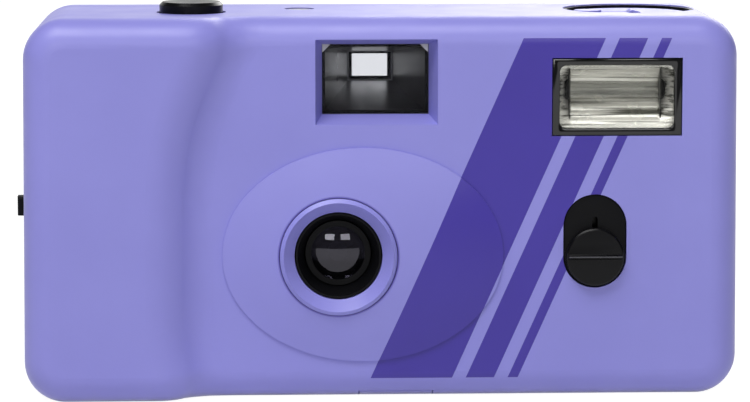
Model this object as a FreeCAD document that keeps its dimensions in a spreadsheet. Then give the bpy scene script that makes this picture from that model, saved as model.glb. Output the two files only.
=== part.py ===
import FreeCAD, Part
import Sketcher
import math
import os
from types import SimpleNamespace
from FreeCAD import Placement, Rotation, Vector

# Compact 35 mm snapshot camera: a moulded housing round a black chassis, with a built-in flash.
# Millimetres. X runs to the right as one looks at the lens, Y away from the viewer, Z up.
# The origin is in the middle of the bottom face. "Depth" below counts along Y from the centre plane.

SIZES = [
    # housing
    ("body_width", 114.0, "overall width of the housing"),
    ("body_height", 61.0, "overall height of the housing"),
    ("front_y", -16.0, "depth of the main front face"),
    ("rear_y", 18.0, "depth of the rear face"),
    ("wall", 1.6, "housing wall"),
    ("side_lean", 0.5, "how far each side leans in at the top"),
    ("corner_round", 6.5, "corners of the front outline"),
    ("front_round", 4.5, "rounding round the front faces"),
    ("rear_round", 3.5, "rounding round the rear face"),
    ("room_bevel", 2.2, "bevel along the inside corners of the housing"),
    ("parting_y", 10.2, "depth of the joint between the front shell and the rear pieces"),
    ("gap", 0.2, "gap between neighbouring pieces"),
    ("fit", 0.1, "clearance of a piece in its seat"),
    ("run", 0.06, "running clearance of shafts"),
    ("door_drop", 16.5, "from the housing's top down to the film door"),
    # finger grip
    ("grip_rise", 4.5, "how far the grip stands out of the front face"),
    ("grip_edge", 31.9, "from the centre to the middle of the grip's slope"),
    ("grip_sweep", 50.0, "radius of the slope's upper curve"),
    ("grip_sweep_foot", 30.9, "height where the upper curve starts"),
    ("grip_flare", 27.0, "radius of the slope's lower curve"),
    ("grip_flare_head", 13.6, "height where the lower curve starts"),
    ("grip_head_blend", 8.0, "rounding along the head of the slope"),
    ("grip_foot_blend", 6.0, "rounding along the foot of the slope"),
    # lens surround
    ("dome_x", -3.2, "centre of the oval lens plate"),
    ("dome_z", 23.3, "height of the oval lens plate's centre"),
    ("dome_half_width", 22.3, "half width of the oval plate"),
    ("dome_half_height", 17.1, "half height of the oval plate"),
    ("dome_step", 0.35, "height of the plate's edge"),
    ("dome_crown", 2.0, "rise from the plate's edge to its middle"),
    ("dome_depth", 20.0, "depth of the egg shape that the plate's crown is cut from"),
    # lens
    ("lens_x", -7.1, "lens axis"),
    ("lens_z", 23.2, "height of the lens axis"),
    ("ring_radius", 9.3, "lens ring"),
    ("ring_bore", 6.9, "opening of the lens ring"),
    ("ring_face_y", -18.5, "depth of the ring's lip"),
    ("ring_back_y", -15.0, "depth of the ring's back"),
    ("barrel_radius", 5.2, "lens barrel"),
    ("barrel_face_y", -13.2, "depth of the barrel's rim"),
    ("barrel_back_y", -8.0, "depth of the barrel's back"),
    ("glass_radius", 4.5, "front glass"),
    ("glass_window", 4.3, "clear opening in front of the glass"),
    ("glass_bow", 0.6, "bow of the front glass"),
    ("rear_glass_radius", 3.5, "rear glass"),
    ("stop_radius", 1.4, "fixed stop"),
    # film path
    ("film_y", 13.5, "depth of the film"),
    ("film_width", 35.0, "width of the film"),
    ("gate_width", 36.0, "picture width"),
    ("gate_height", 24.0, "picture height"),
    ("chassis_wall", 1.2, "walls of the chassis"),
    ("light_box_y", -6.4, "depth of the light box's front"),
    ("light_box_half_width", 5.3, "half width of the light box at the shutter"),
    ("light_box_half_height", 4.3, "half height of the light box at the shutter"),
    ("chassis_foot", 1.8, "height of the chassis' lower edge"),
    ("chassis_drop", 14.4, "from the housing's top down to the chambers' tops"),
    ("bridge_drop", 17.5, "from the housing's top down to the chassis between the chambers"),
    ("cartridge_x", 40.8, "axis of the film cartridge"),
    ("cartridge_y", 2.9, "depth of the cartridge's axis"),
    ("cartridge_room", 12.9, "radius of the cartridge chamber"),
    ("spool_x", -43.1, "axis of the take-up spool"),
    ("spool_y", 5.8, "depth of the take-up spool's axis"),
    ("spool_room", 10.4, "radius of the take-up chamber"),
    ("spool_core", 4.5, "core of the take-up spool"),
    ("spool_flange", 5.8, "flanges of the take-up spool"),
    ("spool_shaft", 2.5, "shaft of the take-up spool"),
    ("sprocket_x", -29.5, "axis of the sprocket"),
    ("sprocket_y", 7.45, "depth of the sprocket's axis"),
    ("sprocket_root", 6.05, "radius under the sprocket's teeth"),
    ("sprocket_tooth", 1.1, "height of the sprocket's teeth"),
    ("sprocket_teeth", 8.0, "number of sprocket teeth"),
    ("sprocket_drop", 4.1, "from the film's upper edge down to the toothed disc's underside"),
    ("sprocket_thick", 1.8, "thickness of the toothed disc"),
    ("sprocket_shaft", 2.0, "sprocket shaft"),
    # advance
    ("wheel_radius", 11.2, "thumb wheel"),
    ("wheel_drop", 6.8, "from the housing's top down to the thumb wheel"),
    ("wheel_thick", 4.0, "thickness of the thumb wheel"),
    ("wheel_grooves", 30.0, "number of grooves round the thumb wheel"),
    ("ratchet_radius", 6.6, "ratchet under the thumb wheel"),
    ("ratchet_teeth", 16.0, "number of ratchet teeth"),
    ("scoop_y", 15.6, "depth of the thumb scoop's floor"),
    ("scoop_radius", 20.0, "radius of the thumb scoop"),
    # counter
    ("dial_x", -19.0, "axis of the frame counter"),
    ("dial_y", 0.0, "depth of the frame counter's axis"),
    ("dial_radius", 9.3, "frame counter dial"),
    ("dial_drop", 5.6, "from the housing's top down to the dial's underside"),
    ("dial_thick", 1.2, "thickness of the dial"),
    ("dial_teeth", 36.0, "number of teeth round the dial"),
    ("window_x", -12.9, "counter window"),
    ("window_y", 4.0, "depth of the counter window"),
    ("window_radius", 2.4, "radius of the counter window"),
    # shutter button
    ("button_x", -30.4, "shutter button"),
    ("button_y", -3.0, "depth of the shutter button"),
    ("button_radius", 5.1, "radius of the shutter button"),
    ("button_rise", 1.7, "how far the button stands out of the top"),
    ("button_thick", 2.8, "thickness of the button's head"),
    ("button_travel", 1.4, "travel of the shutter button"),
    ("button_stem", 1.8, "stem of the shutter button"),
    ("button_well_gap", 0.5, "gap round the shutter button"),
    # rewind crank
    ("crank_radius", 9.6, "rewind crank disc"),
    ("crank_gap", 0.4, "gap round the crank disc"),
    ("crank_well_rim", 0.6, "wall of the crank's well"),
    ("crank_well_depth", 3.6, "from the housing's top down to the well's underside"),
    ("crank_drop", 0.6, "from the housing's top down to the crank disc"),
    ("crank_thick", 1.8, "thickness of the crank disc"),
    ("crank_shaft", 3.0, "rewind shaft"),
    ("handle_width", 3.4, "width of the folding handle"),
    ("handle_thick", 0.8, "thickness of the folding handle"),
    # finder
    ("mouth_x", -0.8, "centre of the finder's recess"),
    ("mouth_drop", 10.6, "from the housing's top down to the recess's centre"),
    ("mouth_width", 19.2, "width of the finder's recess at the front"),
    ("mouth_height", 13.2, "height of the finder's recess at the front"),
    ("finder_x", -1.1, "axis of the viewfinder"),
    ("finder_drop", 10.1, "from the housing's top down to the viewfinder's axis"),
    ("finder_width", 16.9, "width of the finder window"),
    ("finder_height", 11.1, "height of the finder window"),
    ("finder_y", -11.6, "depth of the finder window"),
    ("finder_rim", 0.9, "walls of the finder tunnel"),
    ("eyepiece_width", 6.6, "width of the eyepiece opening"),
    ("eyepiece_height", 4.4, "height of the eyepiece opening"),
    # flash
    ("flash_x", 37.05, "centre of the flash window"),
    ("flash_drop", 12.7, "from the housing's top down to the flash window's centre"),
    ("flash_width", 20.5, "width of the flash frame"),
    ("flash_height", 12.2, "height of the flash frame"),
    ("flash_opening_width", 18.2, "width of the opening in the frame"),
    ("flash_opening_height", 10.05, "height of the opening in the frame"),
    ("reflector_y", -13.5, "depth of the reflector's mouth"),
    ("reflector_back_y", -9.2, "depth of the reflector's back"),
    ("reflector_sheet", 0.5, "sheet of the reflector"),
    ("tube_radius", 1.25, "flash tube"),
    # flash switch
    ("switch_x", 33.7, "flash switch"),
    ("switch_z", 25.3, "height of the switch plate's centre"),
    ("switch_radius", 4.95, "half width of the switch plate"),
    ("switch_height", 14.8, "height of the switch plate"),
    ("switch_rise", 1.2, "how far the knob stands out of the front"),
    # battery
    ("battery_y", -6.95, "depth of the battery's axis"),
    ("battery_z", 7.2, "height of the battery's axis"),
    ("battery_radius", 5.25, "battery radius"),
    ("battery_left", -23.6, "left end of the battery"),
    ("battery_length", 43.3, "battery can"),
    ("bay_left", -26.8, "left end of the battery bay"),
    ("bay_right", 21.8, "right end of the battery bay"),
    ("battery_door_thick", 1.4, "thickness of the battery door"),
    ("tab_left", -3.7, "left side of the battery door's tab"),
    ("tab_right", 7.9, "right side of the battery door's tab"),
    ("tab_y", -14.2, "depth of the tab's edge"),
    # hinges, latch and strap
    ("hinge_inset", 1.8, "from the housing's end in to the film door's hinge axis"),
    ("hinge_y", 9.7, "depth of the film door's hinge"),
    ("knuckle_radius", 1.5, "knuckles of the film door's hinge"),
    ("pin_radius", 0.6, "hinge pin"),
    ("hinge_low", 5.5, "lower end of the hinge"),
    ("hinge_head", 1.5, "from the film door's top down to the hinge"),
    ("knuckle_length", 7.0, "length of each knuckle on the shell"),
    ("latch_z", 30.0, "height of the latch plate's centre"),
    ("latch_length", 13.6, "length of the latch plate"),
    ("latch_y", 12.9, "depth of the latch"),
    ("strap_z", 6.3, "height of the strap bar's middle"),
    ("strap_y", -6.5, "depth of the strap bar"),
    ("strap_slot", 4.0, "height of the strap slot"),
    # fasteners
    ("head_radius", 1.9, "screw head"),
    ("head_thick", 1.2, "thickness of a screw head"),
    ("shank_radius", 0.9, "screw shank"),
    ("screw_length", 6.0, "screw length under the head"),
    ("boss_radius", 2.2, "screw bosses"),
]

doc = FreeCAD.newDocument("compact_camera")
sheet = doc.addObject("Spreadsheet::Sheet", "Sizes")
for row, (alias, number, note) in enumerate(SIZES, 1):
    sheet.set(f"A{row}", note)
    sheet.set(f"B{row}", str(number))
    sheet.setAlias(f"B{row}", alias)
doc.recompute()


class Size:
    """A number from the sheet, or worked out from it, kept with the formula that gives it."""

    def __init__(self, number, formula):
        self.number = number
        self.formula = formula

    def __add__(self, other):
        other = as_size(other)
        return Size(self.number + other.number, f"({self.formula} + {other.formula})")

    def __sub__(self, other):
        other = as_size(other)
        return Size(self.number - other.number, f"({self.formula} - {other.formula})")

    def __mul__(self, other):
        other = as_size(other)
        return Size(self.number * other.number, f"({self.formula} * {other.formula})")

    def __truediv__(self, other):
        other = as_size(other)
        return Size(self.number / other.number, f"({self.formula} / {other.formula})")

    def __neg__(self):
        return as_size(0) - self

    def __radd__(self, other):
        return as_size(other) + self

    def __rsub__(self, other):
        return as_size(other) - self

    def __rmul__(self, other):
        return as_size(other) * self


def as_size(value):
    if isinstance(value, Size):
        return value
    number = float(value)
    return Size(number, f"{number:.9g}" if number >= 0 else f"(0 - {-number:.9g})")


size = SimpleNamespace(**{alias: Size(float(number), "Sizes." + alias) for alias, number, note in SIZES})
pieces = {}

half = size.body_width / 2
beyond = size.body_width
rear_start = size.parting_y + size.gap
grip_y = size.front_y - size.grip_rise
front_inside = size.front_y + size.wall
rear_inside = size.rear_y - size.wall
roof_inside = size.body_height - size.wall
side_inside = half - size.wall
everywhere = (-beyond, beyond)
film_edge = size.lens_z + size.film_width / 2
door_top = size.body_height - size.door_drop
chassis_top = size.body_height - size.chassis_drop
bridge_top = size.body_height - size.bridge_drop
wheel_high = size.body_height - size.wheel_drop
wheel_low = wheel_high - size.wheel_thick
dial_low = size.body_height - size.dial_drop
crank_well_floor = size.body_height - size.crank_well_depth
crank_high = size.body_height - size.crank_drop
crank_low = crank_high - size.crank_thick
mouth_z = size.body_height - size.mouth_drop
finder_z = size.body_height - size.finder_drop
flash_z = size.body_height - size.flash_drop
sprocket_low = film_edge - size.sprocket_drop
sprocket_high = sprocket_low + size.sprocket_thick
hinge_x = half - size.hinge_inset
hinge_high = door_top - size.hinge_head
lens_axis = (size.lens_x, size.lens_z)
cartridge_axis = (size.cartridge_x, size.cartridge_y)
spool_axis = (size.spool_x, size.spool_y)
sprocket_axis = (size.sprocket_x, size.sprocket_y)
button_axis = (size.button_x, size.button_y)
dial_axis = (size.dial_x, size.dial_y)
hinge_axis = (hinge_x, size.hinge_y)


# Building steps that repeat

def bind(thing, prop, value):
    """Ties a property to its formula in the sheet."""
    thing.setExpression(prop, as_size(value).formula)


TURNS = {
    "x": Rotation(Vector(0, 1, 0), 90),
    "y": Rotation(Vector(1, 0, 0), -90),
    "z": Rotation(),
}


def seat(thing, axis, centre, low=0):
    """Lays a thing along an axis, with its foot at the centre's two places and at low."""
    places = list(centre)
    places.insert("xyz".index(axis), low)
    thing.Placement = Placement(Vector(), TURNS[axis])
    for name, place in zip("xyz", places):
        bind(thing, "Placement.Base." + name, place)


def around(middle, reach):
    """The low and high places round a middle."""
    return middle - reach, middle + reach


def block(x, y, z, name="block"):
    """A box from its low and high places along X, Y and Z."""
    box = doc.addObject("Part::Box", name)
    for side, axis, (low, high) in zip(("Length", "Width", "Height"), "xyz", (x, y, z)):
        bind(box, side, as_size(high) - low)
        bind(box, "Placement.Base." + axis, low)
    return box


def rod(axis, centre, radius, span, name="rod"):
    cylinder = doc.addObject("Part::Cylinder", name)
    bind(cylinder, "Radius", radius)
    bind(cylinder, "Height", as_size(span[1]) - span[0])
    seat(cylinder, axis, centre, span[0])
    return cylinder


def taper(span, near, far, name="taper"):
    """A tapering box along Y, from the X and Z places of its near end to those of its far end."""
    wedge = doc.addObject("Part::Wedge", name)
    for prop, value in (
        ("Ymin", span[0]), ("Ymax", span[1]),
        ("Xmin", near[0][0]), ("Xmax", near[0][1]),
        ("Zmin", near[1][0]), ("Zmax", near[1][1]),
        ("X2min", far[0][0]), ("X2max", far[0][1]),
        ("Z2min", far[1][0]), ("Z2max", far[1][1]),
    ):
        bind(wedge, prop, value)
    return wedge


def grown(window, margin):
    """The X and Z places of a window, moved out by a margin."""
    (left, right), (low, high) = window
    return (left - margin, right + margin), (low - margin, high + margin)


def union(*things, name="union"):
    if len(things) == 1:
        return things[0]
    fuse = doc.addObject("Part::MultiFuse", name)
    fuse.Shapes = list(things)
    fuse.Refine = True
    return fuse


def minus(base, *tools, name="cut"):
    cut = doc.addObject("Part::Cut", name)
    cut.Base = base
    cut.Tool = union(*tools)
    return cut


def overlap(*things, name="common"):
    common = doc.addObject("Part::MultiCommon", name)
    common.Shapes = list(things)
    return common


def slot(x, ends, radius, span, name="slot"):
    """An upright slot shape along Y, round the line between its two end centres."""
    return union(
        block(around(x, radius), span, ends),
        rod("y", (x, ends[0]), radius, span),
        rod("y", (x, ends[1]), radius, span),
        name=name,
    )


PLANES = {"x": "YZ_Plane", "y": "XZ_Plane", "z": "XY_Plane"}


def sketch_in(body, axis, lift, name):
    """A sketch square to an axis, at a place along it."""
    sketch = body.newObject("Sketcher::SketchObject", name)
    for feature in body.Origin.OriginFeatures:
        if feature.Role == PLANES[axis]:
            sketch.AttachmentSupport = [(feature, "")]
    sketch.MapMode = "FlatFace"
    bind(sketch, "AttachmentOffset.Base.z", -as_size(lift) if axis == "y" else lift)
    return sketch


def pin_point(sketch, geometry, point, place):
    """Holds one point of a sketch at its two places."""
    for kind, value in zip(("DistanceX", "DistanceY"), place):
        value = as_size(value)
        index = sketch.addConstraint(Sketcher.Constraint(kind, -1, 1, geometry, point, value.number))
        sketch.setExpression(f"Constraints[{index}]", value.formula)


def flat(place):
    return Vector(as_size(place[0]).number, as_size(place[1]).number, 0)


def outline(sketch, points):
    """A closed outline of straight lines."""
    lines = []
    for start, end in zip(points, points[1:] + points[:1]):
        lines.append(sketch.addGeometry(Part.LineSegment(flat(start), flat(end)), False))
    for line, following in zip(lines, lines[1:] + lines[:1]):
        sketch.addConstraint(Sketcher.Constraint("Coincident", line, 2, following, 1))
    for line, place in zip(lines, points):
        pin_point(sketch, line, 1, place)


def feature_on(body, kind, name, sketch, length=None):
    feature = body.newObject("PartDesign::" + kind, name)
    feature.Profile = sketch
    if length is not None:
        bind(feature, "Length", length)
    return feature


def prism(axis, points, span, name="prism"):
    """A body padded from an outline along an axis."""
    body = doc.addObject("PartDesign::Body", name)
    low, high = as_size(span[0]), as_size(span[1])
    sketch = sketch_in(body, axis, high if axis == "y" else low, name + "_outline")
    outline(sketch, points)
    feature_on(body, "Pad", name + "_pad", sketch, high - low)
    return body


def turned(axis, centre, profile, name="turned"):
    """A body turned round an axis from a half profile of (radius, place along the axis)."""
    body = doc.addObject("PartDesign::Body", name)
    sketch = sketch_in(body, "y", 0, name + "_profile")
    outline(sketch, profile)
    turn = feature_on(body, "Revolution", name + "_turn", sketch)
    turn.ReferenceAxis = (sketch, ["V_Axis"])
    turn.Angle = 360
    seat(body, axis, centre)
    return body


def sleeve(bore, radius, low, high):
    """Half profile of a plain ring."""
    return [(bore, low), (radius, low), (radius, high), (bore, high)]


def soften(body, name, radius, test, kind="Fillet"):
    """Rounds or bevels the edges of a body's last feature that pass a test."""
    doc.recompute()
    base = body.Tip
    names = [f"Edge{index}" for index, edge in enumerate(base.Shape.Edges, 1) if test(edge.BoundBox, edge)]
    feature = body.newObject("PartDesign::" + kind, name)
    feature.Base = (base, names)
    bind(feature, "Radius" if kind == "Fillet" else "Size", radius)
    return feature


def round_off(base, radius, test, name="rounded"):
    """Rounds the edges of a finished form that pass a test."""
    doc.recompute()
    fillet = doc.addObject("Part::Fillet", name)
    fillet.Base = base
    fillet.Edges = [
        (index, radius.number, radius.number)
        for index, edge in enumerate(base.Shape.Edges, 1)
        if test(edge.BoundBox, edge)
    ]
    doc.recompute()
    return fillet


def along(axis):
    """A test for straight edges that run along an axis."""
    place = "xyz".index(axis)
    return lambda box, edge: abs(abs(edge.tangentAt(edge.FirstParameter)[place]) - 1) < 1e-6


def notch_round(body, name, points, span, count):
    """Cuts one notch down through a turned body and repeats it round the body's axis."""
    doc.recompute()
    before = body.Shape.Volume
    sketch = sketch_in(body, "z", span[1], name + "_outline")
    outline(sketch, points)
    pocket = feature_on(body, "Pocket", name, sketch, as_size(span[1]) - span[0])
    pattern = body.newObject("PartDesign::PolarPattern", name + "_ring")
    pattern.Originals = [pocket]
    for datum in body.Origin.OriginFeatures:
        if datum.Role == "Z_Axis":
            pattern.Axis = (datum, [""])
    pattern.Angle = 360
    bind(pattern, "Occurrences", count)
    body.Tip = pattern
    doc.recompute()
    if body.Shape.Volume >= before:
        raise RuntimeError(f"{name} cuts nothing")


def polar(radius, degrees):
    """A place on a circle."""
    angle = math.radians(degrees)
    return radius * math.cos(angle), radius * math.sin(angle)


def keep(label, thing):
    """Names a finished piece."""
    thing.Label = label
    pieces[label] = thing


# The housing's outer form: a block with round corners, its front cut back beside the finger grip

def outer_form():
    body = doc.addObject("PartDesign::Body", "outer_form")
    leaning = half - size.side_lean
    sketch = sketch_in(body, "y", size.rear_y, "front_outline")
    outline(sketch, [(-half, 0), (half, 0), (leaning, size.body_height), (-leaning, size.body_height)])
    feature_on(body, "Pad", "full_block", sketch, size.rear_y - grip_y)
    soften(body, "corners", size.corner_round, along("y"))

    wall_half = size.grip_rise / 2
    spill = size.grip_rise + 0.5
    foot = -size.grip_edge - wall_half
    top, bottom, right = size.body_height + spill, -spill, half + spill
    sweep_centre = (size.grip_sweep - size.grip_edge, size.grip_sweep_foot)
    flare_centre = (size.grip_flare - size.grip_edge, size.grip_flare_head)
    sweep = (size.grip_sweep + wall_half).number
    flare = (size.grip_flare + wall_half).number
    sweep_turn = math.asin((top - sweep_centre[1]).number / sweep)
    flare_turn = math.asin((flare_centre[1] - bottom).number / flare)
    head = (sweep_centre[0].number - sweep * math.cos(sweep_turn), top.number)
    heel = (flare_centre[0].number - flare * math.cos(flare_turn), bottom.number)
    beside = sketch_in(body, "y", grip_y, "beside_grip")
    axis = Vector(0, 0, 1)
    upper = beside.addGeometry(Part.ArcOfCircle(
        Part.Circle(flat(sweep_centre), axis, sweep), math.pi - sweep_turn, math.pi))
    lower = beside.addGeometry(Part.ArcOfCircle(
        Part.Circle(flat(flare_centre), axis, flare), math.pi, math.pi + flare_turn))
    corners = [(foot, size.grip_sweep_foot), (foot, size.grip_flare_head), heel, (right, bottom), (right, top), head]
    straight = beside.addGeometry(Part.LineSegment(flat(corners[0]), flat(corners[1])))
    low_side = beside.addGeometry(Part.LineSegment(flat(corners[2]), flat(corners[3])))
    far_side = beside.addGeometry(Part.LineSegment(flat(corners[3]), flat(corners[4])))
    top_side = beside.addGeometry(Part.LineSegment(flat(corners[4]), flat(corners[5])))
    for first, first_point, second, second_point in (
        (upper, 2, straight, 1), (straight, 2, lower, 1), (lower, 2, low_side, 1),
        (low_side, 2, far_side, 1), (far_side, 2, top_side, 1), (top_side, 2, upper, 1),
    ):
        beside.addConstraint(Sketcher.Constraint("Coincident", first, first_point, second, second_point))
    pin_point(beside, upper, 3, sweep_centre)
    pin_point(beside, lower, 3, flare_centre)
    pin_point(beside, straight, 1, corners[0])
    pin_point(beside, straight, 2, corners[1])
    pin_point(beside, far_side, 1, corners[3])
    pin_point(beside, far_side, 2, corners[4])
    for line in (low_side, top_side):
        beside.addConstraint(Sketcher.Constraint("Horizontal", line))
    step = feature_on(body, "Pocket", "step_beside_grip", beside, size.grip_rise)
    step.TaperAngle = -45

    grip_edge = size.grip_edge.number

    def on_slope(depth):
        return lambda box, edge: (
            abs(box.YMin - depth.number) < 1e-4 and abs(box.YMax - depth.number) < 1e-4
            and -1.45 * grip_edge < box.XMin and box.XMax < -0.45 * grip_edge and box.ZLength > 2
        )

    soften(body, "slope_head", size.grip_head_blend, on_slope(grip_y))
    soften(body, "slope_foot", size.grip_foot_blend, on_slope(size.front_y))
    front = size.front_y.number
    height = size.body_height.number
    flank = (half - size.corner_round - size.side_lean * 2).number

    def on_front_rim(box, edge):
        outermost = box.ZMin > height - 0.1 or box.ZMax < 0.1 or box.XMin > flank or box.XMax < -flank
        return box.YMax < front + 0.01 and outermost

    soften(body, "front_rim", size.front_round, on_front_rim)
    soften(body, "rear_rim", size.rear_round, lambda box, edge: box.YMin > size.rear_y.number - 1e-4)
    return body


def inner_room(margin, span, name):
    """The space inside the housing, less a margin at its sides, floor and roof."""
    cut = size.corner_round / 2
    side = side_inside - margin
    leaning = side - size.side_lean
    low, high = size.wall + margin, roof_inside - margin
    return prism("y", [
        (-side + cut, low), (side - cut, low), (side, low + cut), (leaning, high - cut),
        (leaning - cut, high), (-leaning + cut, high), (-leaning, high - cut), (-side, low + cut),
    ], span, name=name)


def grip_room():
    """The hollow behind the finger grip."""
    left = -side_inside + size.side_lean
    face = grip_y + size.wall
    slope_top = -size.grip_edge - size.grip_rise / 2 - size.wall
    return prism("z", [
        (left, front_inside + size.wall), (left, face + size.room_bevel), (left + size.room_bevel, face),
        (slope_top - size.wall, face), (slope_top - size.wall + size.grip_rise, front_inside),
        (slope_top - size.wall + size.grip_rise, front_inside + size.wall),
    ], (size.wall + size.room_bevel, roof_inside - size.room_bevel), name="grip_room")


form = outer_form()
room = inner_room(0, (front_inside, rear_inside), "inner_room")
soften(room, "room_bevels", size.room_bevel, lambda box, edge: box.YLength < 1e-6, kind="Chamfer")
mouth = (around(size.mouth_x, size.mouth_width / 2), around(mouth_z, size.mouth_height / 2))
window = (around(size.finder_x, size.finder_width / 2), around(finder_z, size.finder_height / 2))
flash_face = (around(size.flash_x, size.flash_width / 2), around(flash_z, size.flash_height / 2))
flash_opening = (
    around(size.flash_x, size.flash_opening_width / 2),
    around(flash_z, size.flash_opening_height / 2),
)
switch_ends = around(size.switch_z, size.switch_height / 2 - size.switch_radius)
battery_bay = ((size.bay_left, size.bay_right), around(size.battery_y, size.battery_radius + size.gap))
battery_hinge = (battery_bay[1][1] + size.gap * 3, 0.9)
battery_knuckle = 0.9
battery_knuckles = (as_size(-18), as_size(12))
battery_pin = 0.4
battery_door_end = battery_hinge[0] - battery_knuckle - 0.6
battery_bay_end = battery_hinge[0] - battery_knuckle - 0.2
crank_well_radius = size.crank_radius + size.crank_gap + size.crank_well_rim
stem_foot = size.body_height - 12
button_low = size.body_height + size.button_rise - size.button_thick
well_floor = button_low - size.button_travel - size.gap
bottom_screws = [(-37.5, -9.6), (27.4, -10.2)]
screw_pad = 3.0
blade_pivot = (-16.1, 27.2)
lever_pivot = (as_size(-24), bridge_top - 5.5)


# Housing

def lens_plate():
    """The oval plate round the lens: an upright edge under a gently crowned face."""
    edge_y = size.front_y - size.dome_step
    oval = doc.addObject("Part::Ellipse", "oval")
    bind(oval, "MajorRadius", size.dome_half_width)
    bind(oval, "MinorRadius", size.dome_half_height)
    seat(oval, "y", (size.dome_x, size.dome_z), edge_y)
    edge = doc.addObject("Part::Extrusion", "oval_edge")
    edge.Base = oval
    edge.DirMode = "Custom"
    edge.Dir = Vector(0, 1, 0)
    edge.Solid = True
    bind(edge, "LengthFwd", size.dome_step + size.wall / 2)
    spread = 1 / math.sqrt(1 - (1 - size.dome_crown.number / size.dome_depth.number) ** 2)
    egg = doc.addObject("Part::Ellipsoid", "egg")
    bind(egg, "Radius1", size.dome_half_height * spread)
    bind(egg, "Radius2", size.dome_half_width * spread)
    bind(egg, "Radius3", size.dome_depth)
    for name, place in zip("xyz", (size.dome_x, edge_y - size.dome_crown + size.dome_depth, size.dome_z)):
        bind(egg, "Placement.Base." + name, place)
    cap = overlap(egg, block(everywhere, (-beyond, edge_y), everywhere), name="crown")
    return union(edge, cap, name="lens_plate")


def hinge_knuckles(spans, foot):
    """Barrels round the film door's hinge axis, each with its web to the piece that carries it."""
    parts = []
    for span in spans:
        parts.append(rod("z", hinge_axis, size.knuckle_radius, span))
        parts.append(block(foot[0], foot[1], span))
    return parts


shell_knuckles = [
    (size.hinge_low, size.hinge_low + size.knuckle_length),
    (hinge_high - size.knuckle_length, hinge_high),
]
door_knuckle = (shell_knuckles[0][1] + size.gap, shell_knuckles[1][0] - size.gap)


def front_shell():
    skin = minus(
        overlap(form, block(everywhere, (-beyond, size.parting_y), everywhere), name="front_half"),
        room, grip_room(), name="front_skin",
    )
    well_radius = size.button_radius + size.button_well_gap
    button_pad = around(size.button_x, well_radius + 1), around(size.button_y, well_radius + 1)
    strap_pocket = (around(size.strap_y, 3.5), around(size.strap_z, size.strap_slot / 2 + 1))
    flash_room = grown(flash_face, size.fit)
    hinge_span = (size.hinge_low - size.gap, hinge_high + size.gap)
    above_works = (chassis_top, beyond)
    additions = [
        lens_plate(),
        taper((front_inside - size.fit, size.finder_y), grown(mouth, size.wall / 2), grown(window, 1.2)),
        block(*button_pad, (well_floor - 1, roof_inside + 0.5)),
        block((-side_inside - 0.2, -side_inside + 3), *strap_pocket),
    ]
    additions += [
        block(around(x, screw_pad), around(y, screw_pad), (0.5, screw_pad)) for x, y in bottom_screws
    ]
    openings = [
        rod("y", lens_axis, size.ring_radius + size.fit, (-beyond, size.ring_back_y + size.fit)),
        rod("y", lens_axis, size.ring_bore + 0.7, (-beyond, 0)),
        taper((size.front_y * 2, size.finder_y + 1), grown(mouth, 4.5), grown(window, -0.25)),
        block(flash_room[0], (-beyond, size.reflector_y), flash_room[1]),
        slot(size.switch_x, switch_ends, size.switch_radius + size.fit, (-beyond, size.reflector_y)),
        rod("z", button_axis, well_radius, (well_floor, beyond)),
        rod("z", button_axis, size.button_stem + size.run, above_works),
        rod("z", cartridge_axis, crank_well_radius + size.fit, (crank_well_floor, beyond)),
        rod("z", (size.window_x, size.window_y), size.window_radius + size.fit / 2, above_works),
        rod("z", sprocket_axis, 2.3, (-beyond, size.wall * 2)),
        block((-beyond, -side_inside + 2), around(size.strap_y, 2.5), around(size.strap_z, size.strap_slot / 2)),
        block((size.bay_left - size.gap, size.bay_right + size.gap),
              (battery_bay[1][0] - size.gap * 2, battery_bay_end), (-beyond, size.wall * 2)),
        rod("x", battery_hinge, battery_pin, (battery_knuckles[0] - 5, battery_knuckles[1] + 5)),
        block(around((size.tab_left + size.tab_right) / 2, (size.tab_right - size.tab_left) / 2 + size.gap),
              (size.tab_y - size.gap, battery_bay[1][0] + 1), (-beyond, 2.5)),
        rod("z", hinge_axis, size.knuckle_radius + size.gap, hinge_span),
        block((hinge_x - 0.9, beyond), (size.hinge_y - 1.7, beyond), hinge_span),
    ]
    openings += [
        block(around(middle, 3 + size.gap), (battery_bay[1][0], battery_hinge[0] + battery_knuckle + size.gap),
              (-beyond, size.wall * 2))
        for middle in battery_knuckles
    ]
    for place in bottom_screws:
        openings.append(rod("z", place, size.head_radius + 0.2, (-beyond, size.wall)))
        openings.append(rod("z", place, size.shank_radius + 0.2, (-beyond, screw_pad * 2)))
    shell = minus(union(skin, *additions, name="front_with_bosses"), *openings, name="front_with_openings")
    web = ((hinge_x + 0.2, hinge_x + 1.1), (size.hinge_y - 2.4, size.hinge_y))
    barrels = minus(
        union(*hinge_knuckles(shell_knuckles, web)),
        rod("z", hinge_axis, size.pin_radius, (-beyond, beyond)),
        name="shell_barrels",
    )
    strap_bar = rod("z", (-half + 1.4, size.strap_y), 0.8, around(size.strap_z, size.strap_slot / 2 + 0.5))
    keep("front_shell", union(shell, barrels, strap_bar, name="front_shell"))


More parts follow.
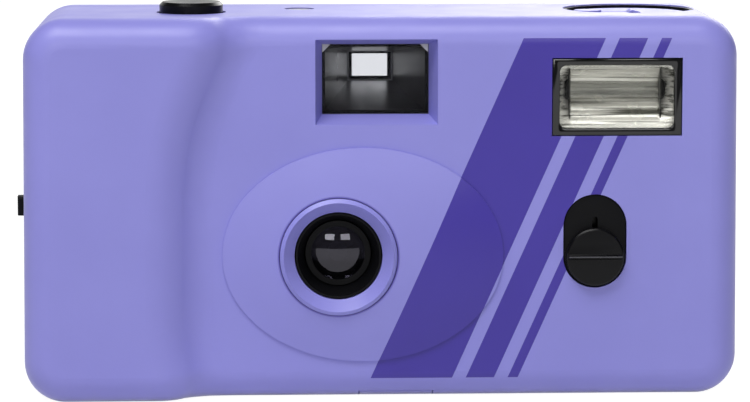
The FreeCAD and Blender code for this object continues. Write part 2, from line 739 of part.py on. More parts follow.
def rear_cover():
    skin = minus(
        overlap(form, block(everywhere, (rear_start, beyond), (door_top + size.gap, beyond)), name="rear_part"),
        room, name="rear_skin",
    )
    scoop_centre = (size.spool_x, size.scoop_y + size.scoop_radius)
    scoop_height = around((wheel_low + wheel_high) / 2, 4.6)
    scoop_wall = overlap(
        rod("z", scoop_centre, size.scoop_radius + size.wall, (scoop_height[0] - 1.2, scoop_height[1] + 1.2)),
        block(around(size.spool_x, 11), (rear_start, rear_inside + 0.5), everywhere),
        name="scoop_wall",
    )
    shelf = block(around(0, side_inside - 4), (rear_inside - 2.6, rear_inside + 0.3),
                  (door_top + size.gap, door_top + size.gap + 1.2))
    wheel_room = (wheel_low - 0.3, wheel_high + 0.3)
    eye = (around(size.finder_x, size.eyepiece_width / 2), around(finder_z, size.eyepiece_height / 2))
    recess = grown(eye, 2.2)
    openings = [
        rod("z", scoop_centre, size.scoop_radius, scoop_height),
        rod("z", spool_axis, size.wheel_radius + 0.5, wheel_room),
        rod("z", cartridge_axis, crank_well_radius + size.fit, (crank_well_floor, beyond)),
        block(eye[0], (rear_start, beyond), eye[1]),
        taper((rear_inside + 0.8, size.rear_y + 0.1), recess, grown(recess, 0.9)),
        rod("y", (size.finder_x + 12, finder_z), 1.35, (0, beyond)),
    ]
    keep("rear_cover", minus(union(skin, scoop_wall, shelf, name="rear_solid"), *openings, name="rear_cover"))


def film_door():
    low = size.gap
    side_relief = hinge_x - 0.8
    skin = minus(
        overlap(form, block(everywhere, (rear_start, beyond), (low, door_top)), name="door_part"),
        room, name="door_skin",
    )
    studs = [
        block(around(size.lens_x + side, 1.2), (size.film_y + 0.7, rear_inside + 0.2), around(size.lens_z, 1.2))
        for side in (-15, 15)
    ]
    latch_well = around(size.latch_z, size.latch_length / 2 + size.fit)
    latch_wall = block((-side_inside - 0.3, -side_inside + 1), around(size.latch_y, 2.6), latch_well)
    solid = minus(
        union(skin, latch_wall, *studs, name="door_solid"),
        block((side_relief, beyond), (0, size.hinge_y + 2.2), everywhere),
        rod("z", hinge_axis, size.knuckle_radius + size.gap, (-beyond, beyond)),
        block((-beyond, -half + 1.1), around(size.latch_y, 1.75 + size.fit), latch_well),
        block((-beyond, 0), around(size.latch_y, 0.7), around(size.latch_z - 1.4, 3.4)),
        block(around(size.cartridge_x, 2.6), (0, beyond), (13, 33)),
        name="door_with_openings",
    )
    web = ((hinge_x - 1.2, hinge_x), (size.hinge_y, size.hinge_y + 3))
    barrel = minus(
        union(*hinge_knuckles([door_knuckle], web)),
        rod("z", hinge_axis, size.pin_radius + size.run, (-beyond, beyond)),
        name="door_barrel",
    )
    keep("film_door", union(solid, barrel, name="film_door"))
    keep("door_hinge_pin", rod("z", hinge_axis, size.pin_radius, (size.hinge_low + 0.2, hinge_high - 0.2)))


def door_furniture():
    """Pressure plate, its spring, the cartridge window, its light seal and the latch."""
    plate_y = (size.film_y + 0.4, size.film_y + 1.2)

    def stud_holes():
        return [
            block(around(size.lens_x + side, 1.35), (0, beyond), around(size.lens_z, 1.35)) for side in (-15, 15)
        ]

    keep("pressure_plate", minus(
        block((size.sprocket_x + 4, size.lens_x + 21), plate_y, around(size.lens_z, 15.5)), *stud_holes(),
        name="pressure_plate",
    ))
    spring_back = rear_inside - 0.1
    bow = plate_y[1] + 0.9
    profile = [
        (size.lens_x - 18, bow), (size.lens_x - 9, spring_back - 0.3), (size.lens_x + 9, spring_back - 0.3),
        (size.lens_x + 18, bow), (size.lens_x + 18, bow + 0.3), (size.lens_x + 9, spring_back),
        (size.lens_x - 9, spring_back), (size.lens_x - 18, bow + 0.3),
    ]
    keep("pressure_spring", minus(
        prism("z", profile, around(size.lens_z, 3.5), name="spring_strip"), *stud_holes(), name="pressure_spring",
    ))
    pane_y = (rear_inside - 0.9, rear_inside - 0.1)
    pane = (around(size.cartridge_x, 3.4), (12.2, 33.8))
    keep("film_window", union(
        block(pane[0], pane_y, pane[1]),
        block(around(size.cartridge_x, 2.5), (rear_inside - 0.1, size.rear_y - 0.3), (13.1, 32.9)),
        name="film_window",
    ))
    seal = grown(pane, 1.4)
    hole = grown(pane, size.fit)
    keep("door_seal", minus(
        block(seal[0], (rear_inside - 0.7, rear_inside), seal[1]),
        block(hole[0], (0, beyond), hole[1]),
        name="door_seal",
    ))
    plate_x = (-half - 0.1, -half + 1.0)
    keep("latch_base", minus(
        block(plate_x, around(size.latch_y, 1.75), around(size.latch_z, size.latch_length / 2)),
        block((-beyond, 0), around(size.latch_y, 0.7), around(size.latch_z - 1.4, 3.4)),
        name="latch_base",
    ))
    slider_z = (26.1, 35.3)
    slider = union(
        block((-half - 1.5, -half - 0.2), around(size.latch_y, 1.5), slider_z),
        block((-half - 2.8, -half - 0.2), around(size.latch_y, 1.5), (slider_z[0], slider_z[0] + 3.2)),
        name="latch_head",
    )
    slider = round_off(slider, as_size(0.5), lambda box, edge: box.XMax < -half.number - 1.2
                       and box.YLength < 0.01 and (box.ZLength > 2 or box.XLength > 1))
    keep("door_latch", union(
        slider,
        block((-half - 0.3, -side_inside + 1.7), around(size.latch_y, 0.6), (28.5, 31.9)),
        block((-side_inside + 1.2, -side_inside + 1.9), (rear_start, size.latch_y + 0.6), (28.5, 31.9)),
        name="door_latch",
    ))


# Chassis

def main_body():
    wall = size.chassis_wall
    foot, top = size.chassis_foot, chassis_top
    floor = foot + wall
    ceiling = top - wall
    plate_top = foot + 1.6
    cartridge_left = size.cartridge_x - size.cartridge_room
    gate = (around(size.lens_x, size.gate_width / 2), around(size.lens_z, size.gate_height / 2))
    throat = (
        around(size.lens_x, size.light_box_half_width),
        around(size.lens_z, size.light_box_half_height),
    )
    box_back = size.film_y - wall
    bay_x, bay_y = battery_bay
    bay = block((bay_x[0] - 1, bay_x[1] + 1), (bay_y[0] - 1, bay_y[1] + 1),
                (foot + 1.4, size.battery_z + size.battery_radius + 1.2))
    solids = [
        rod("z", cartridge_axis, size.cartridge_room + 1, (foot, top)),
        block((cartridge_left - 1, cartridge_left + 6), (size.cartridge_y, box_back), (foot, top)),
        rod("z", spool_axis, size.spool_room + 1, (foot, top)),
        block((gate[0][0] - 1.5, cartridge_left + 2), (box_back, size.film_y), (3, bridge_top)),
        taper((size.light_box_y, size.film_y - 0.1), grown(throat, wall), grown(gate, wall)),
        block((-18.4, 4), (size.light_box_y, size.light_box_y + wall), (14.2, 33)),
        bay,
        block((-40, 35), (-1, size.film_y - 0.2), (foot, plate_top)),
        block((-40, -13), (-3, size.film_y), (bridge_top - wall, bridge_top)),
        block((-27, -13.2), (-3, -1.8), (24, bridge_top)),
        block((26.3, 30.5), (-6, -2.4), (18, 34)),
        block((-40.5, -37), (-8, -4.4), (screw_pad + size.gap, 9.4)),
        block((26, 33.2), (-8.8, -7.4), (screw_pad + size.gap, 9.4)),
        block((12, 28.5), (-12, size.film_y), (bridge_top - wall, bridge_top)),
        block((12, 22), (-12, -4.8), (bridge_top - 0.5, bridge_top + 1.7)),
        block(around(size.sprocket_x, 3.2), around(size.sprocket_y, 3.2), (foot, 7)),
        block(around(size.dial_x, 1.8), around(size.dial_y, 1.8), (bridge_top - wall, dial_low - size.gap)),
        rod("z", dial_axis, 1, (dial_low - 1, dial_low + size.dial_thick + 0.4)),
        rod("z", (-36, -1.2), 0.9, (ceiling, 50)),
        rod("y", lever_pivot, 0.8, (-4.9, -2)),
        rod("y", blade_pivot, 0.8, (-7.1, size.light_box_y + 0.5)),
    ]
    solids += [
        block(around(x, size.boss_radius), around(y, size.boss_radius), (screw_pad + size.gap, 9.4))
        for x, y in bottom_screws
    ]
    solids += [
        block(around(x, 0.9), (-7.1, size.light_box_y + 0.5), around(z, 0.9))
        for x, z in ((2, 31), (2, 16.2), (-17.4, 16.2))
    ]
    rails = [(size.lens_z - size.film_width / 2 - 0.9), (size.lens_z + size.film_width / 2 + 0.1)]
    solids += [block((gate[0][0] + 2, cartridge_left), (size.film_y - 0.5, size.film_y + 0.3), (z, z + 0.8))
               for z in rails]
    cuts = [
        rod("z", cartridge_axis, size.cartridge_room, (floor, ceiling)),
        block((cartridge_left, beyond), (size.cartridge_y + 4.2, beyond), (floor, ceiling)),
        rod("z", spool_axis, size.spool_room, (floor, ceiling)),
        block((-beyond, size.spool_x + size.spool_room), (size.spool_y + 4, beyond), (floor, ceiling)),
        taper((size.light_box_y + wall, size.film_y + 0.1), throat, gate),
        rod("y", lens_axis, 2.5, (-beyond, 0)),
        block(bay_x, bay_y, (-beyond, size.battery_z + size.battery_radius + 0.2)),
        rod("z", sprocket_axis, size.sprocket_shaft + size.run, (4.6, beyond)),
        rod("z", sprocket_axis, 1.3, (0, 5)),
        rod("z", sprocket_axis, 2.5, (0, plate_top - 0.2)),
        rod("z", sprocket_axis, size.sprocket_root + size.sprocket_tooth + 0.5,
            (sprocket_low - 0.7, sprocket_high + 0.7)),
        rod("z", cartridge_axis, size.crank_shaft + size.run, (ceiling - 1, beyond)),
        rod("z", spool_axis, size.spool_shaft + size.run, (ceiling - 1, beyond)),
        rod("z", spool_axis, 1.5 + size.run, (foot - 1, floor + 1)),
        block((0, 27.7), (-5.0, -3.4), (13.5, bridge_top - 3.5)),
    ]
    cuts += [rod("z", place, size.shank_radius + 0.05, (0, 8)) for place in bottom_screws]
    inside = inner_room(size.gap, (front_inside + size.gap, size.film_y + 0.3), "chassis_room")
    solid = overlap(union(*solids, name="chassis_solid"), inside, name="chassis_in_room")
    keep("main_body", minus(solid, *cuts, name="main_body"))


# Film transport

def film_transport():
    foot, top = size.chassis_foot, chassis_top
    floor, ceiling = foot + size.chassis_wall, top - size.chassis_wall
    core_low, core_high = floor + 0.5, ceiling - 0.5
    spool = turned("z", spool_axis, [
        (0, foot + 0.1), (1.5, foot + 0.1), (1.5, core_low), (size.spool_flange, core_low),
        (size.spool_flange, core_low + 1), (size.spool_core, core_low + 1), (size.spool_core, core_high),
        (size.spool_shaft, core_high), (size.spool_shaft, wheel_low - 2), (0, wheel_low - 2),
    ], name="spool")
    keep("take_up_spool", minus(
        spool,
        block(around(size.spool_x, 0.6), around(size.spool_y, beyond), (12, 35)),
        name="take_up_spool",
    ))
    edge = size.wheel_radius
    wheel = turned("z", spool_axis, [
        (0, wheel_low - 1.9), (size.ratchet_radius, wheel_low - 1.9),
        (size.ratchet_radius, wheel_low), (edge, wheel_low), (edge, wheel_high),
        (0, wheel_high),
    ], name="wheel")
    groove = 0.55
    pitch = math.pi * edge.number / size.wheel_grooves.number
    notch_round(wheel, "wheel_groove", [
        (edge - groove, 0), (edge + 0.2, -pitch), (edge + 0.2, pitch),
    ], (wheel_low - 0.1, wheel_high + 0.1), size.wheel_grooves)
    pitch = math.pi * 2 * size.ratchet_radius.number / size.ratchet_teeth.number
    notch_round(wheel, "ratchet_notch", [
        (size.ratchet_radius - 0.8, 0), (size.ratchet_radius + 0.2, -pitch), (size.ratchet_radius + 0.2, 0.1),
    ], (wheel_low - 2, wheel_low), size.ratchet_teeth)
    keep("advance_wheel", wheel)

    low, high = sprocket_low, sprocket_high
    root = size.sprocket_root
    tall = root + size.sprocket_tooth
    shaft = size.sprocket_shaft
    finger_z = (dial_low, dial_low + size.dial_thick)
    reach = math.hypot((size.dial_x - size.sprocket_x).number, (size.dial_y - size.sprocket_y).number)
    finger = reach - size.dial_radius.number - 0.15
    drum = turned("z", sprocket_axis, [
        (0, 4.8), (shaft, 4.8), (shaft, low), (tall, low), (tall, high), (shaft, high),
        (shaft, finger_z[1]), (0, finger_z[1]),
    ], name="drum")
    doc.recompute()
    gap_half = 180 / size.sprocket_teeth.number
    tooth_half, tip_half = 0.75, 0.3
    tooth_turn = math.degrees(math.asin(tooth_half / root.number))
    notch_round(drum, "tooth_gap", [
        polar(root.number, tooth_turn), (tall + 1, tip_half), polar(tall.number + 2.5, gap_half * 2),
        polar(root.number, gap_half * 2 - tooth_turn), polar(root.number, gap_half),
    ], (low - 0.1, high + 0.1), size.sprocket_teeth)
    keep("sprocket", union(
        drum,
        block((size.sprocket_x - finger, size.sprocket_x), around(size.sprocket_y, 0.5), finger_z),
        name="sprocket",
    ))
    dial = turned("z", dial_axis, sleeve(1 + size.run, size.dial_radius, *finger_z), name="dial")
    pitch = math.pi * size.dial_radius.number / size.dial_teeth.number
    notch_round(dial, "dial_notch", [
        (size.dial_radius - 0.6, 0), (size.dial_radius + 0.1, -pitch), (size.dial_radius + 0.1, pitch),
    ], (finger_z[0] - 0.1, finger_z[1] + 0.1), size.dial_teeth)
    keep("counter_dial", dial)

    pivot = (-36.0, -1.2)
    pawl_z = (wheel_low - 1.7, wheel_low - 0.3)
    tip_x = size.spool_x + 6.85
    keep("advance_pawl", minus(
        union(
            rod("z", pivot, 1.9, pawl_z),
            prism("z", [(pivot[0] - 1.2, pivot[1]), (pivot[0] + 1.2, pivot[1]),
                        (tip_x + 1.1, size.spool_y - 1.2), (tip_x, size.spool_y - 1.2)], pawl_z, name="pawl_arm"),
            name="pawl",
        ),
        rod("z", pivot, 0.9 + size.run, everywhere),
        name="advance_pawl",
    ))
    keep("rewind_release", turned("z", sprocket_axis, [
        (0, 0.3), (2.2, 0.3), (2.2, 1.4), (1.2, 1.4), (1.2, 2.9), (0, 2.9),
    ], name="rewind_release"))


def rewind_crank():
    cx, cy = cartridge_axis
    floor = crank_well_floor
    inner = size.crank_radius + size.crank_gap
    rim = size.body_height - 0.2
    keep("crank_well", turned("z", cartridge_axis, [
        (size.crank_shaft + size.run, floor + 0.1), (crank_well_radius, floor + 0.1), (crank_well_radius, rim),
        (inner, rim), (inner, floor + 0.9), (size.crank_shaft + size.run, floor + 0.9),
    ], name="crank_well"))
    low, high = crank_low, crank_high
    disc = turned("z", cartridge_axis, [
        (0, 41.5), (size.crank_shaft, 41.5), (size.crank_shaft, low), (size.crank_radius, low),
        (size.crank_radius, high - 0.3), (size.crank_radius - 0.3, high), (0, high),
    ], name="disc")
    bed = high - size.handle_thick - 0.15
    pin_z = high - size.handle_thick / 2 - 0.05
    hub = (cx + 0.6, pin_z)
    knob = (cx - 6.6, cy)
    keep("rewind_crank", minus(
        disc,
        block((cx - 8.9, cx + 1.9), around(cy, size.handle_width / 2 + 0.2), (bed, beyond)),
        rod("z", knob, 2.5, (bed, beyond)),
        block((hub[0] - 1, hub[0] + 1.3), around(cy, size.handle_width / 2 + 0.2), (hub[1] - 1, beyond)),
        rod("y", hub, 0.45, around(cy, 2.8)),
        block(around(cx, 1), around(cy, beyond), (41, 44.5)),
        name="rewind_crank",
    ))
    handle_z = (pin_z - size.handle_thick / 2, pin_z + size.handle_thick / 2)
    keep("crank_handle", minus(
        union(
            block((cx - 6.6, cx + 0.6), around(cy, size.handle_width / 2), handle_z),
            rod("z", knob, 2.2, (handle_z[0], size.body_height - 0.25)),
            rod("y", hub, 0.85, around(cy, size.handle_width / 2)),
            name="handle",
        ),
        rod("y", hub, 0.45 + size.run, around(cy, 4)),
        name="crank_handle",
    ))
    keep("crank_pin", rod("y", hub, 0.45, around(cy, 2.75)))


# Shutter

def shutter_button():
    head = size.body_height + size.button_rise
    radius = size.button_radius
    keep("shutter_button", turned("z", button_axis, [
        (0, stem_foot), (size.button_stem, stem_foot), (size.button_stem, button_low), (radius, button_low),
        (radius, head - 0.5), (radius - 0.5, head), (0, head - 0.3),
    ], name="shutter_button"))
    keep("button_spring", turned("z", button_axis, sleeve(
        size.button_stem + 0.4, size.button_stem + 1.1, well_floor + 0.05, button_low - 0.05), name="button_spring"))
    roof = size.body_height
    keep("counter_window", turned("z", (size.window_x, size.window_y), [
        (0, dial_low + size.dial_thick + 0.6), (size.window_radius + 0.8, dial_low + size.dial_thick + 0.6),
        (size.window_radius + 0.8, roof_inside - 0.1), (size.window_radius, roof_inside - 0.1),
        (size.window_radius, roof - 0.1), (0, roof - 0.1),
    ], name="counter_window"))


def shutter():
    pivot_x, pivot_z = lever_pivot
    lever_y = (-4.3, -3.3)
    arm = prism("y", [
        (pivot_x - 2, pivot_z + 0.5), (pivot_x - 4.4, stem_foot - 2.2), (size.button_x - 1, stem_foot - 2.2),
        (size.button_x - 1, stem_foot - 0.7), (size.button_x + 1, stem_foot - 0.2),
        (pivot_x - 2.6, stem_foot - 0.7), (pivot_x + 1.4, pivot_z + 1.8), (pivot_x + 2.2, pivot_z),
        (pivot_x + 4.0, pivot_z - 6.4), (pivot_x + 2.2, pivot_z - 7.6), (pivot_x - 1.6, pivot_z - 1.8),
        (pivot_x - 2.2, pivot_z - 0.6),
    ], lever_y, name="lever_arm")
    keep("release_lever", minus(
        union(
            arm,
            block(around(pivot_x + 3.0, 0.45), (-7.0, -4.0), around(pivot_z - 6.8, 0.45)),
            name="lever",
        ),
        rod("y", (pivot_x, pivot_z), 0.8 + size.run, everywhere),
        name="release_lever",
    ))
    blade_y = (-6.95, -6.65)
    pivot = blade_pivot
    keep("shutter_blade", minus(
        union(
            rod("y", lens_axis, 3.4, blade_y),
            prism("y", [(pivot[0] - 1.2, pivot[1] - 1.6), (size.lens_x - 1.6, size.lens_z - 2.6),
                        (size.lens_x + 0.6, size.lens_z + 3.0), (pivot[0] + 1.4, pivot[1] + 1.6),
                        (pivot[0] - 2.2, pivot[1] + 2.2), (pivot[0] - 3.0, pivot[1] + 1.2)],
                  blade_y, name="blade_arm"),
            name="blade",
        ),
        rod("y", pivot, 0.8 + size.run, everywhere),
        name="shutter_blade",
    ))
    keep("blade_spring", prism("y", [
        (-18.0, 31.5), (-7.6, 32.0), (-7.6, 32.35), (-18.2, 31.85),
    ], blade_y, name="blade_spring"))
    keep("shutter_plate", minus(
        block((-19.4, 3.6), (-7.9, -7.15), (14.6, 32.8)), rod("y", lens_axis, 3.8, everywhere), name="shutter_plate",
    ))


def meniscus(name, radius, bow, edge_y, back_y):
    """A glass with a bowed front and a flat back on the lens axis."""
    ball_radius = (radius * radius / bow + bow) / 2
    ball = doc.addObject("Part::Sphere", name + "_ball")
    bind(ball, "Radius", ball_radius)
    for axis, place in zip("xyz", (size.lens_x, edge_y - bow + ball_radius, size.lens_z)):
        bind(ball, "Placement.Base." + axis, place)
    return overlap(ball, rod("y", lens_axis, radius, (edge_y - bow - 1, back_y)), name=name)


def lens():
    bore = size.ring_bore
    face, back = size.ring_face_y, size.ring_back_y
    ring = size.ring_radius
    keep("lens_ring", turned("y", lens_axis, [
        (bore + 0.02, back), (ring, back), (ring, face + 0.5), (ring - 0.6, face), (bore + 0.1, face + 2.0),
    ], name="lens_ring"))
    barrel = size.barrel_radius
    keep("lens_cone", turned("y", lens_axis, [
        (bore - 0.4, face + 2.1), (bore - 0.1, face + 2.1), (bore - 0.1, back + 1.2),
        (barrel + 0.2, size.barrel_face_y + 0.5), (barrel + 0.2, size.barrel_face_y + 0.1),
    ], name="lens_cone"))
    front, rear = size.barrel_face_y, size.barrel_back_y
    glass = size.glass_radius
    rear_glass = size.rear_glass_radius
    keep("lens_barrel", turned("y", lens_axis, [
        (size.glass_window, front), (barrel, front), (barrel, rear), (rear_glass + 0.05, rear),
        (rear_glass + 0.05, rear - 1.8), (size.stop_radius, rear - 1.8), (size.stop_radius, rear - 2.3),
        (glass + 0.05, rear - 2.3), (glass + 0.05, front + 0.7), (size.glass_window, front + 0.7),
    ], name="lens_barrel"))
    keep("lens_front", meniscus("lens_front", glass, size.glass_bow, front + 0.8, rear - 2.4))
    keep("lens_rear", meniscus("lens_rear", rear_glass, size.glass_bow / 2, rear - 1.4, rear - 0.7))


# Finder

def finder():
    eye = (around(size.finder_x, size.eyepiece_width / 2), around(finder_z, size.eyepiece_height / 2))
    rim = size.finder_rim
    front, back = size.finder_y + 0.1, rear_inside - 1.6
    keep("finder_tunnel", minus(
        taper((front, back), grown(window, rim), grown(eye, rim)),
        taper((front + 1.3, back + 0.1), grown(window, -0.5), eye),
        block(window[0], (-beyond, front + 1.31), window[1]),
        name="finder_tunnel",
    ))
    clear = grown(window, -0.05)
    cut = 1.5
    (left, right), (low, high) = clear
    glass = prism("y", [
        (left + cut, low), (right - cut, low), (right, low + cut), (right, high - cut),
        (right - cut, high), (left + cut, high), (left, high - cut), (left, low + cut),
    ], (front + 0.1, front + 1.2), name="finder_glass")
    keep("finder_front_lens", glass)
    pane = grown(eye, 0.7)
    keep("finder_eyepiece", block(pane[0], (back + 0.1, rear_inside - 0.1), pane[1]))
    keep("ready_lamp", rod("y", (size.finder_x + 12, finder_z), 1.3, (rear_inside - 1.2, size.rear_y - 0.2)))


# Flash

def flash():
    face_y = size.front_y + 0.1
    frame = union(
        block(flash_face[0], (face_y, front_inside + 0.2), flash_face[1]),
        block(grown(flash_face, 0.9)[0], (front_inside + 0.1, size.reflector_y - 0.1), grown(flash_face, 0.9)[1]),
        name="frame_plate",
    )
    keep("flash_frame", minus(frame, block(flash_opening[0], everywhere, flash_opening[1]), name="flash_frame"))
    pane = grown(flash_opening, -0.05)
    keep("flash_window", block(pane[0], (face_y + 0.25, face_y + 1.15), pane[1]))
    mouth_y, back_y = size.reflector_y, size.reflector_back_y
    low, high = flash_opening[1]
    sheet_thick = size.reflector_sheet
    tube = (back_y - 1.9, flash_z + 0.8)
    inside = [
        (mouth_y, low + sheet_thick), (mouth_y + 2.0, chassis_top + 0.9), (back_y - 0.9, tube[1] - 1.7),
        (back_y - 0.4, tube[1] - 0.8), (back_y - 0.4, tube[1] + 0.8), (back_y - 0.9, tube[1] + 1.7),
        (mouth_y, high - sheet_thick),
    ]
    outside = [
        (mouth_y, low), (mouth_y + 0.6, low), (mouth_y + 2.3, chassis_top + 0.35),
        (back_y - 0.5, tube[1] - 2.15), (back_y, tube[1] - 1.0), (back_y, tube[1] + 1.0),
        (back_y - 0.5, tube[1] + 2.1), (mouth_y + 0.2, high),  (mouth_y, high),
    ]
    wide = flash_opening[0]
    keep("flash_reflector", minus(
        prism("x", outside, wide, name="reflector_outside"),
        prism("x", inside, (wide[0] + sheet_thick, wide[1] - sheet_thick), name="reflector_inside"),
        rod("x", tube, size.tube_radius + 0.02, everywhere),
        name="flash_reflector",
    ))
    keep("flash_tube", rod("x", tube, size.tube_radius, (wide[0] - 0.4, wide[1] + 0.4)))
    keep("flash_board", block((12.5, 27.5), (-4.9, -3.5), (13.8, bridge_top - 5)))
    keep("flash_capacitor", rod("z", (21.5, -9.8), 4.2, (14.5, bridge_top - 4.5)))
    coil_low = bridge_top + 1.9
    keep("flash_transformer", union(
        block((13, 21), (-11.6, -5.2), (coil_low, coil_low + 1.2)),
        block((14.4, 19.6), (-11.0, -5.8), (coil_low + 1.2, coil_low + 5.8)),
        block((13, 21), (-11.6, -5.2), (coil_low + 5.8, coil_low + 7)),
        name="flash_transformer",
    ))


def flash_switch():
    x = size.switch_x
    low_end, high_end = switch_ends
    face_y = size.front_y + 0.3
    knob = 4.6
    stem = 1.1
    flange = around(x, size.switch_radius + 0.9), around(size.switch_z, size.switch_height / 2 + 0.9)
    base = union(
        slot(x, switch_ends, size.switch_radius, (face_y, front_inside + 0.2)),
        block(flange[0], (front_inside + 0.1, front_inside + 0.9), flange[1]),
        name="switch_plate",
    )
    keep("switch_base", minus(
        base,
        block(around(x, stem + 0.1), everywhere, (low_end - stem - 0.3, high_end + stem + 0.3)),
        name="switch_base",
    ))
    keep("flash_switch", union(
        rod("y", (x, low_end), knob, (size.front_y - size.switch_rise + 0.15, face_y - 0.15)),
        block(around(x, 3.4), (size.front_y - size.switch_rise - 0.35, face_y - 0.2), around(low_end, 0.6)),
        block(around(x, stem), (face_y - 0.2, front_inside + 1.6), around(low_end, stem)),
        block(around(x, 2.2), (front_inside + 1.1, front_inside + 1.9), around(low_end, 1.8)),
        name="flash_switch",
    ))


# Battery

def battery():
    axis = (size.battery_y, size.battery_z)
    right = size.battery_left + size.battery_length
    radius = size.battery_radius
    keep("battery", turned("x", axis, [
        (0, size.battery_left), (radius, size.battery_left), (radius, right), (1.9, right),
        (1.9, right + 1.0), (0, right + 1.0),
    ], name="battery"))
    left, spring_right, leaf = size.bay_left + 0.05, size.battery_left - 0.05, 0.3
    low, high = size.battery_z - 4, size.battery_z + 4
    keep("battery_spring", prism("y", [
        (left, low), (left + leaf, low), (left + leaf, high - 1.2), (spring_right, size.battery_z),
        (spring_right, size.battery_z + 0.7), (left + leaf * 2, high), (left, high),
    ], around(size.battery_y, 3), name="battery_spring"))
    plate_x = (size.bay_right - 0.5, size.bay_right - 0.05)
    keep("battery_contact", union(
        block(plate_x, around(size.battery_y, 4), around(size.battery_z, 4)),
        block((right + 1.05, plate_x[0] + 0.1), around(size.battery_y, 1.6), around(size.battery_z, 1.6)),
        name="battery_contact",
    ))
    bay_x, bay_y = battery_bay
    door = overlap(
        form,
        union(
            block((bay_x[0], bay_x[1]), (bay_y[0] - size.gap, battery_door_end), (0, size.battery_door_thick)),
            block((size.tab_left, size.tab_right), (size.tab_y, bay_y[0] + 1), (0, size.battery_door_thick + 0.7)),
            name="door_plate",
        ),
        name="door_panel",
    )
    thick = size.battery_door_thick
    keepers = []
    for middle in battery_knuckles:
        span = around(middle, 3)
        keepers.append(rod("x", battery_hinge, battery_knuckle, span))
        keepers.append(block(span, (battery_hinge[0] - battery_knuckle - 1, battery_hinge[0]), (0.2, thick)))
    keep("battery_door", minus(
        union(door, *keepers, name="panel_with_knuckles"),
        rod("x", battery_hinge, battery_pin + size.run, everywhere),
        name="battery_door",
    ))
    keep("battery_door_pin", rod("x", battery_hinge, battery_pin, (
        battery_knuckles[0] - 5 + size.fit, battery_knuckles[1] + 5 - size.fit)))


# Fasteners

def fasteners():
    head, shank = size.head_radius, size.shank_radius
    under = size.wall
    profile = [
        (0, under - size.head_thick), (head, under - size.head_thick), (head, under),
        (shank, under), (shank, under + size.screw_length), (0, under + size.screw_length),
    ]
    group = doc.addObject("Part::Compound", "body_screws")
    group.Links = [turned("z", place, profile, name="screw") for place in bottom_screws]
    keep("body_screws", group)


front_shell()
rear_cover()
film_door()
door_furniture()
main_body()
film_transport()
rewind_crank()
shutter_button()
shutter()
lens()
finder()
flash()
flash_switch()
battery()
fasteners()
doc.recompute()

for thing in doc.Objects:
    if "Invalid" in thing.State or "Error" in thing.State:
        raise RuntimeError(f"{thing.Label} ({thing.Name}) failed: {thing.State}")
for label, piece in pieces.items():
    if piece.Shape.isNull() or not piece.Shape.isValid() or not piece.Shape.Solids:
        raise RuntimeError(f"{label} has no valid solid")

os.makedirs("parts", exist_ok=True)
for label, piece in pieces.items():
    piece.Shape.exportStep(f"parts/{label}.step")
    print(label, len(piece.Shape.Solids), round(piece.Shape.Volume, 1))
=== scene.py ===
import math

import bpy
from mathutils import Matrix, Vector


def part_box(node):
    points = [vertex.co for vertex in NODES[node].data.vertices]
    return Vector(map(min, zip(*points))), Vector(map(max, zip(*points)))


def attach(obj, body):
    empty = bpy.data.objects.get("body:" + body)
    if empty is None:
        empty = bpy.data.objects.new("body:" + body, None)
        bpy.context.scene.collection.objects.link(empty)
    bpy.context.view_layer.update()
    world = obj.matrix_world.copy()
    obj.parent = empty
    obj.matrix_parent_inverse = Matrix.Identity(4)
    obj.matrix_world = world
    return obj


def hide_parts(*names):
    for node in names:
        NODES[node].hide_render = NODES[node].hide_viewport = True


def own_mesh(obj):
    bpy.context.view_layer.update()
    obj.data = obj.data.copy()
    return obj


# Dresses a compact 35 mm snapshot camera: the finish of every piece, the flash, the switch, the finder's
# edges, the front lens, the screws, the button's spring, the counter's numbers and the studio.
# Metres; X right, Y away, Z up.

bl_info = {
    "name": "Compact camera finish",
    "version": (1, 0, 0),
    "blender": (4, 5, 0),
    "location": "View3D > Sidebar > Camera",
    "description": "Adds the finishes, the small pieces and the studio of a compact snapshot camera",
    "category": "Object",
}

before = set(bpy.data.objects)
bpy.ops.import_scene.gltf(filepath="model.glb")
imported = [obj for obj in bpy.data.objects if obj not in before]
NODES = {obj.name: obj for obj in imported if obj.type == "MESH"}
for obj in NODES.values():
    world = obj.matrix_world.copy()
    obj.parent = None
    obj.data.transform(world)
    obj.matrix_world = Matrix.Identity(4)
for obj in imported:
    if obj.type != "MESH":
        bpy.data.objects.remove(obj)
for leftover in ("Cube", "Light", "Camera"):
    if leftover in bpy.data.objects:
        bpy.data.objects.remove(bpy.data.objects[leftover])
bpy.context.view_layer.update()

# Lengths and turns

MM = 0.001
HAIR = 0.01 * MM
QUARTER = math.radians(90)
UPRIGHT = (QUARTER, 0, 0)
SIDEWAYS = (0, QUARTER, 0)

# The places that the parts in model.glb give; the front's plane, the ring's radius and the slot's ends are
# known

shell_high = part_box("front_shell")[1]
plate_low, plate_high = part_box("flash_frame")
pane_low, pane_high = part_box("flash_window")
dish_low, dish_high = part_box("flash_reflector")
tube_low, tube_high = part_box("flash_tube")
knob_low, knob_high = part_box("flash_switch")
base_low, base_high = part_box("switch_base")
screw_low, screw_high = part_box("body_screws")
spring_low, spring_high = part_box("button_spring")
dial_low, dial_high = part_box("counter_dial")
ring_low, ring_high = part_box("lens_ring")
FRONT_Y = -16 * MM
RING_RADIUS = 9.3 * MM
SLOT_LOW, SLOT_HIGH, SLOT_HALF = 21.45 * MM, 29.15 * MM, 0.45 * MM

# Colours of the housing and of the ink on it, each with the shade that it drifts to

LAVENDER, LAVENDER_SHADE = "#908EDB", "#8B89D6"
PRINT_INK, PRINT_SHADE = "#3F309F", "#3B2C98"
# painted shade: a darker violet for the shadow in the joint round the lens ring, not a colour of the plastic
JOINT_PAINTED_SHADE = "#4F46A0"

# Refraction of the clear and moulded materials, and the usual grain of a mould in millimetres

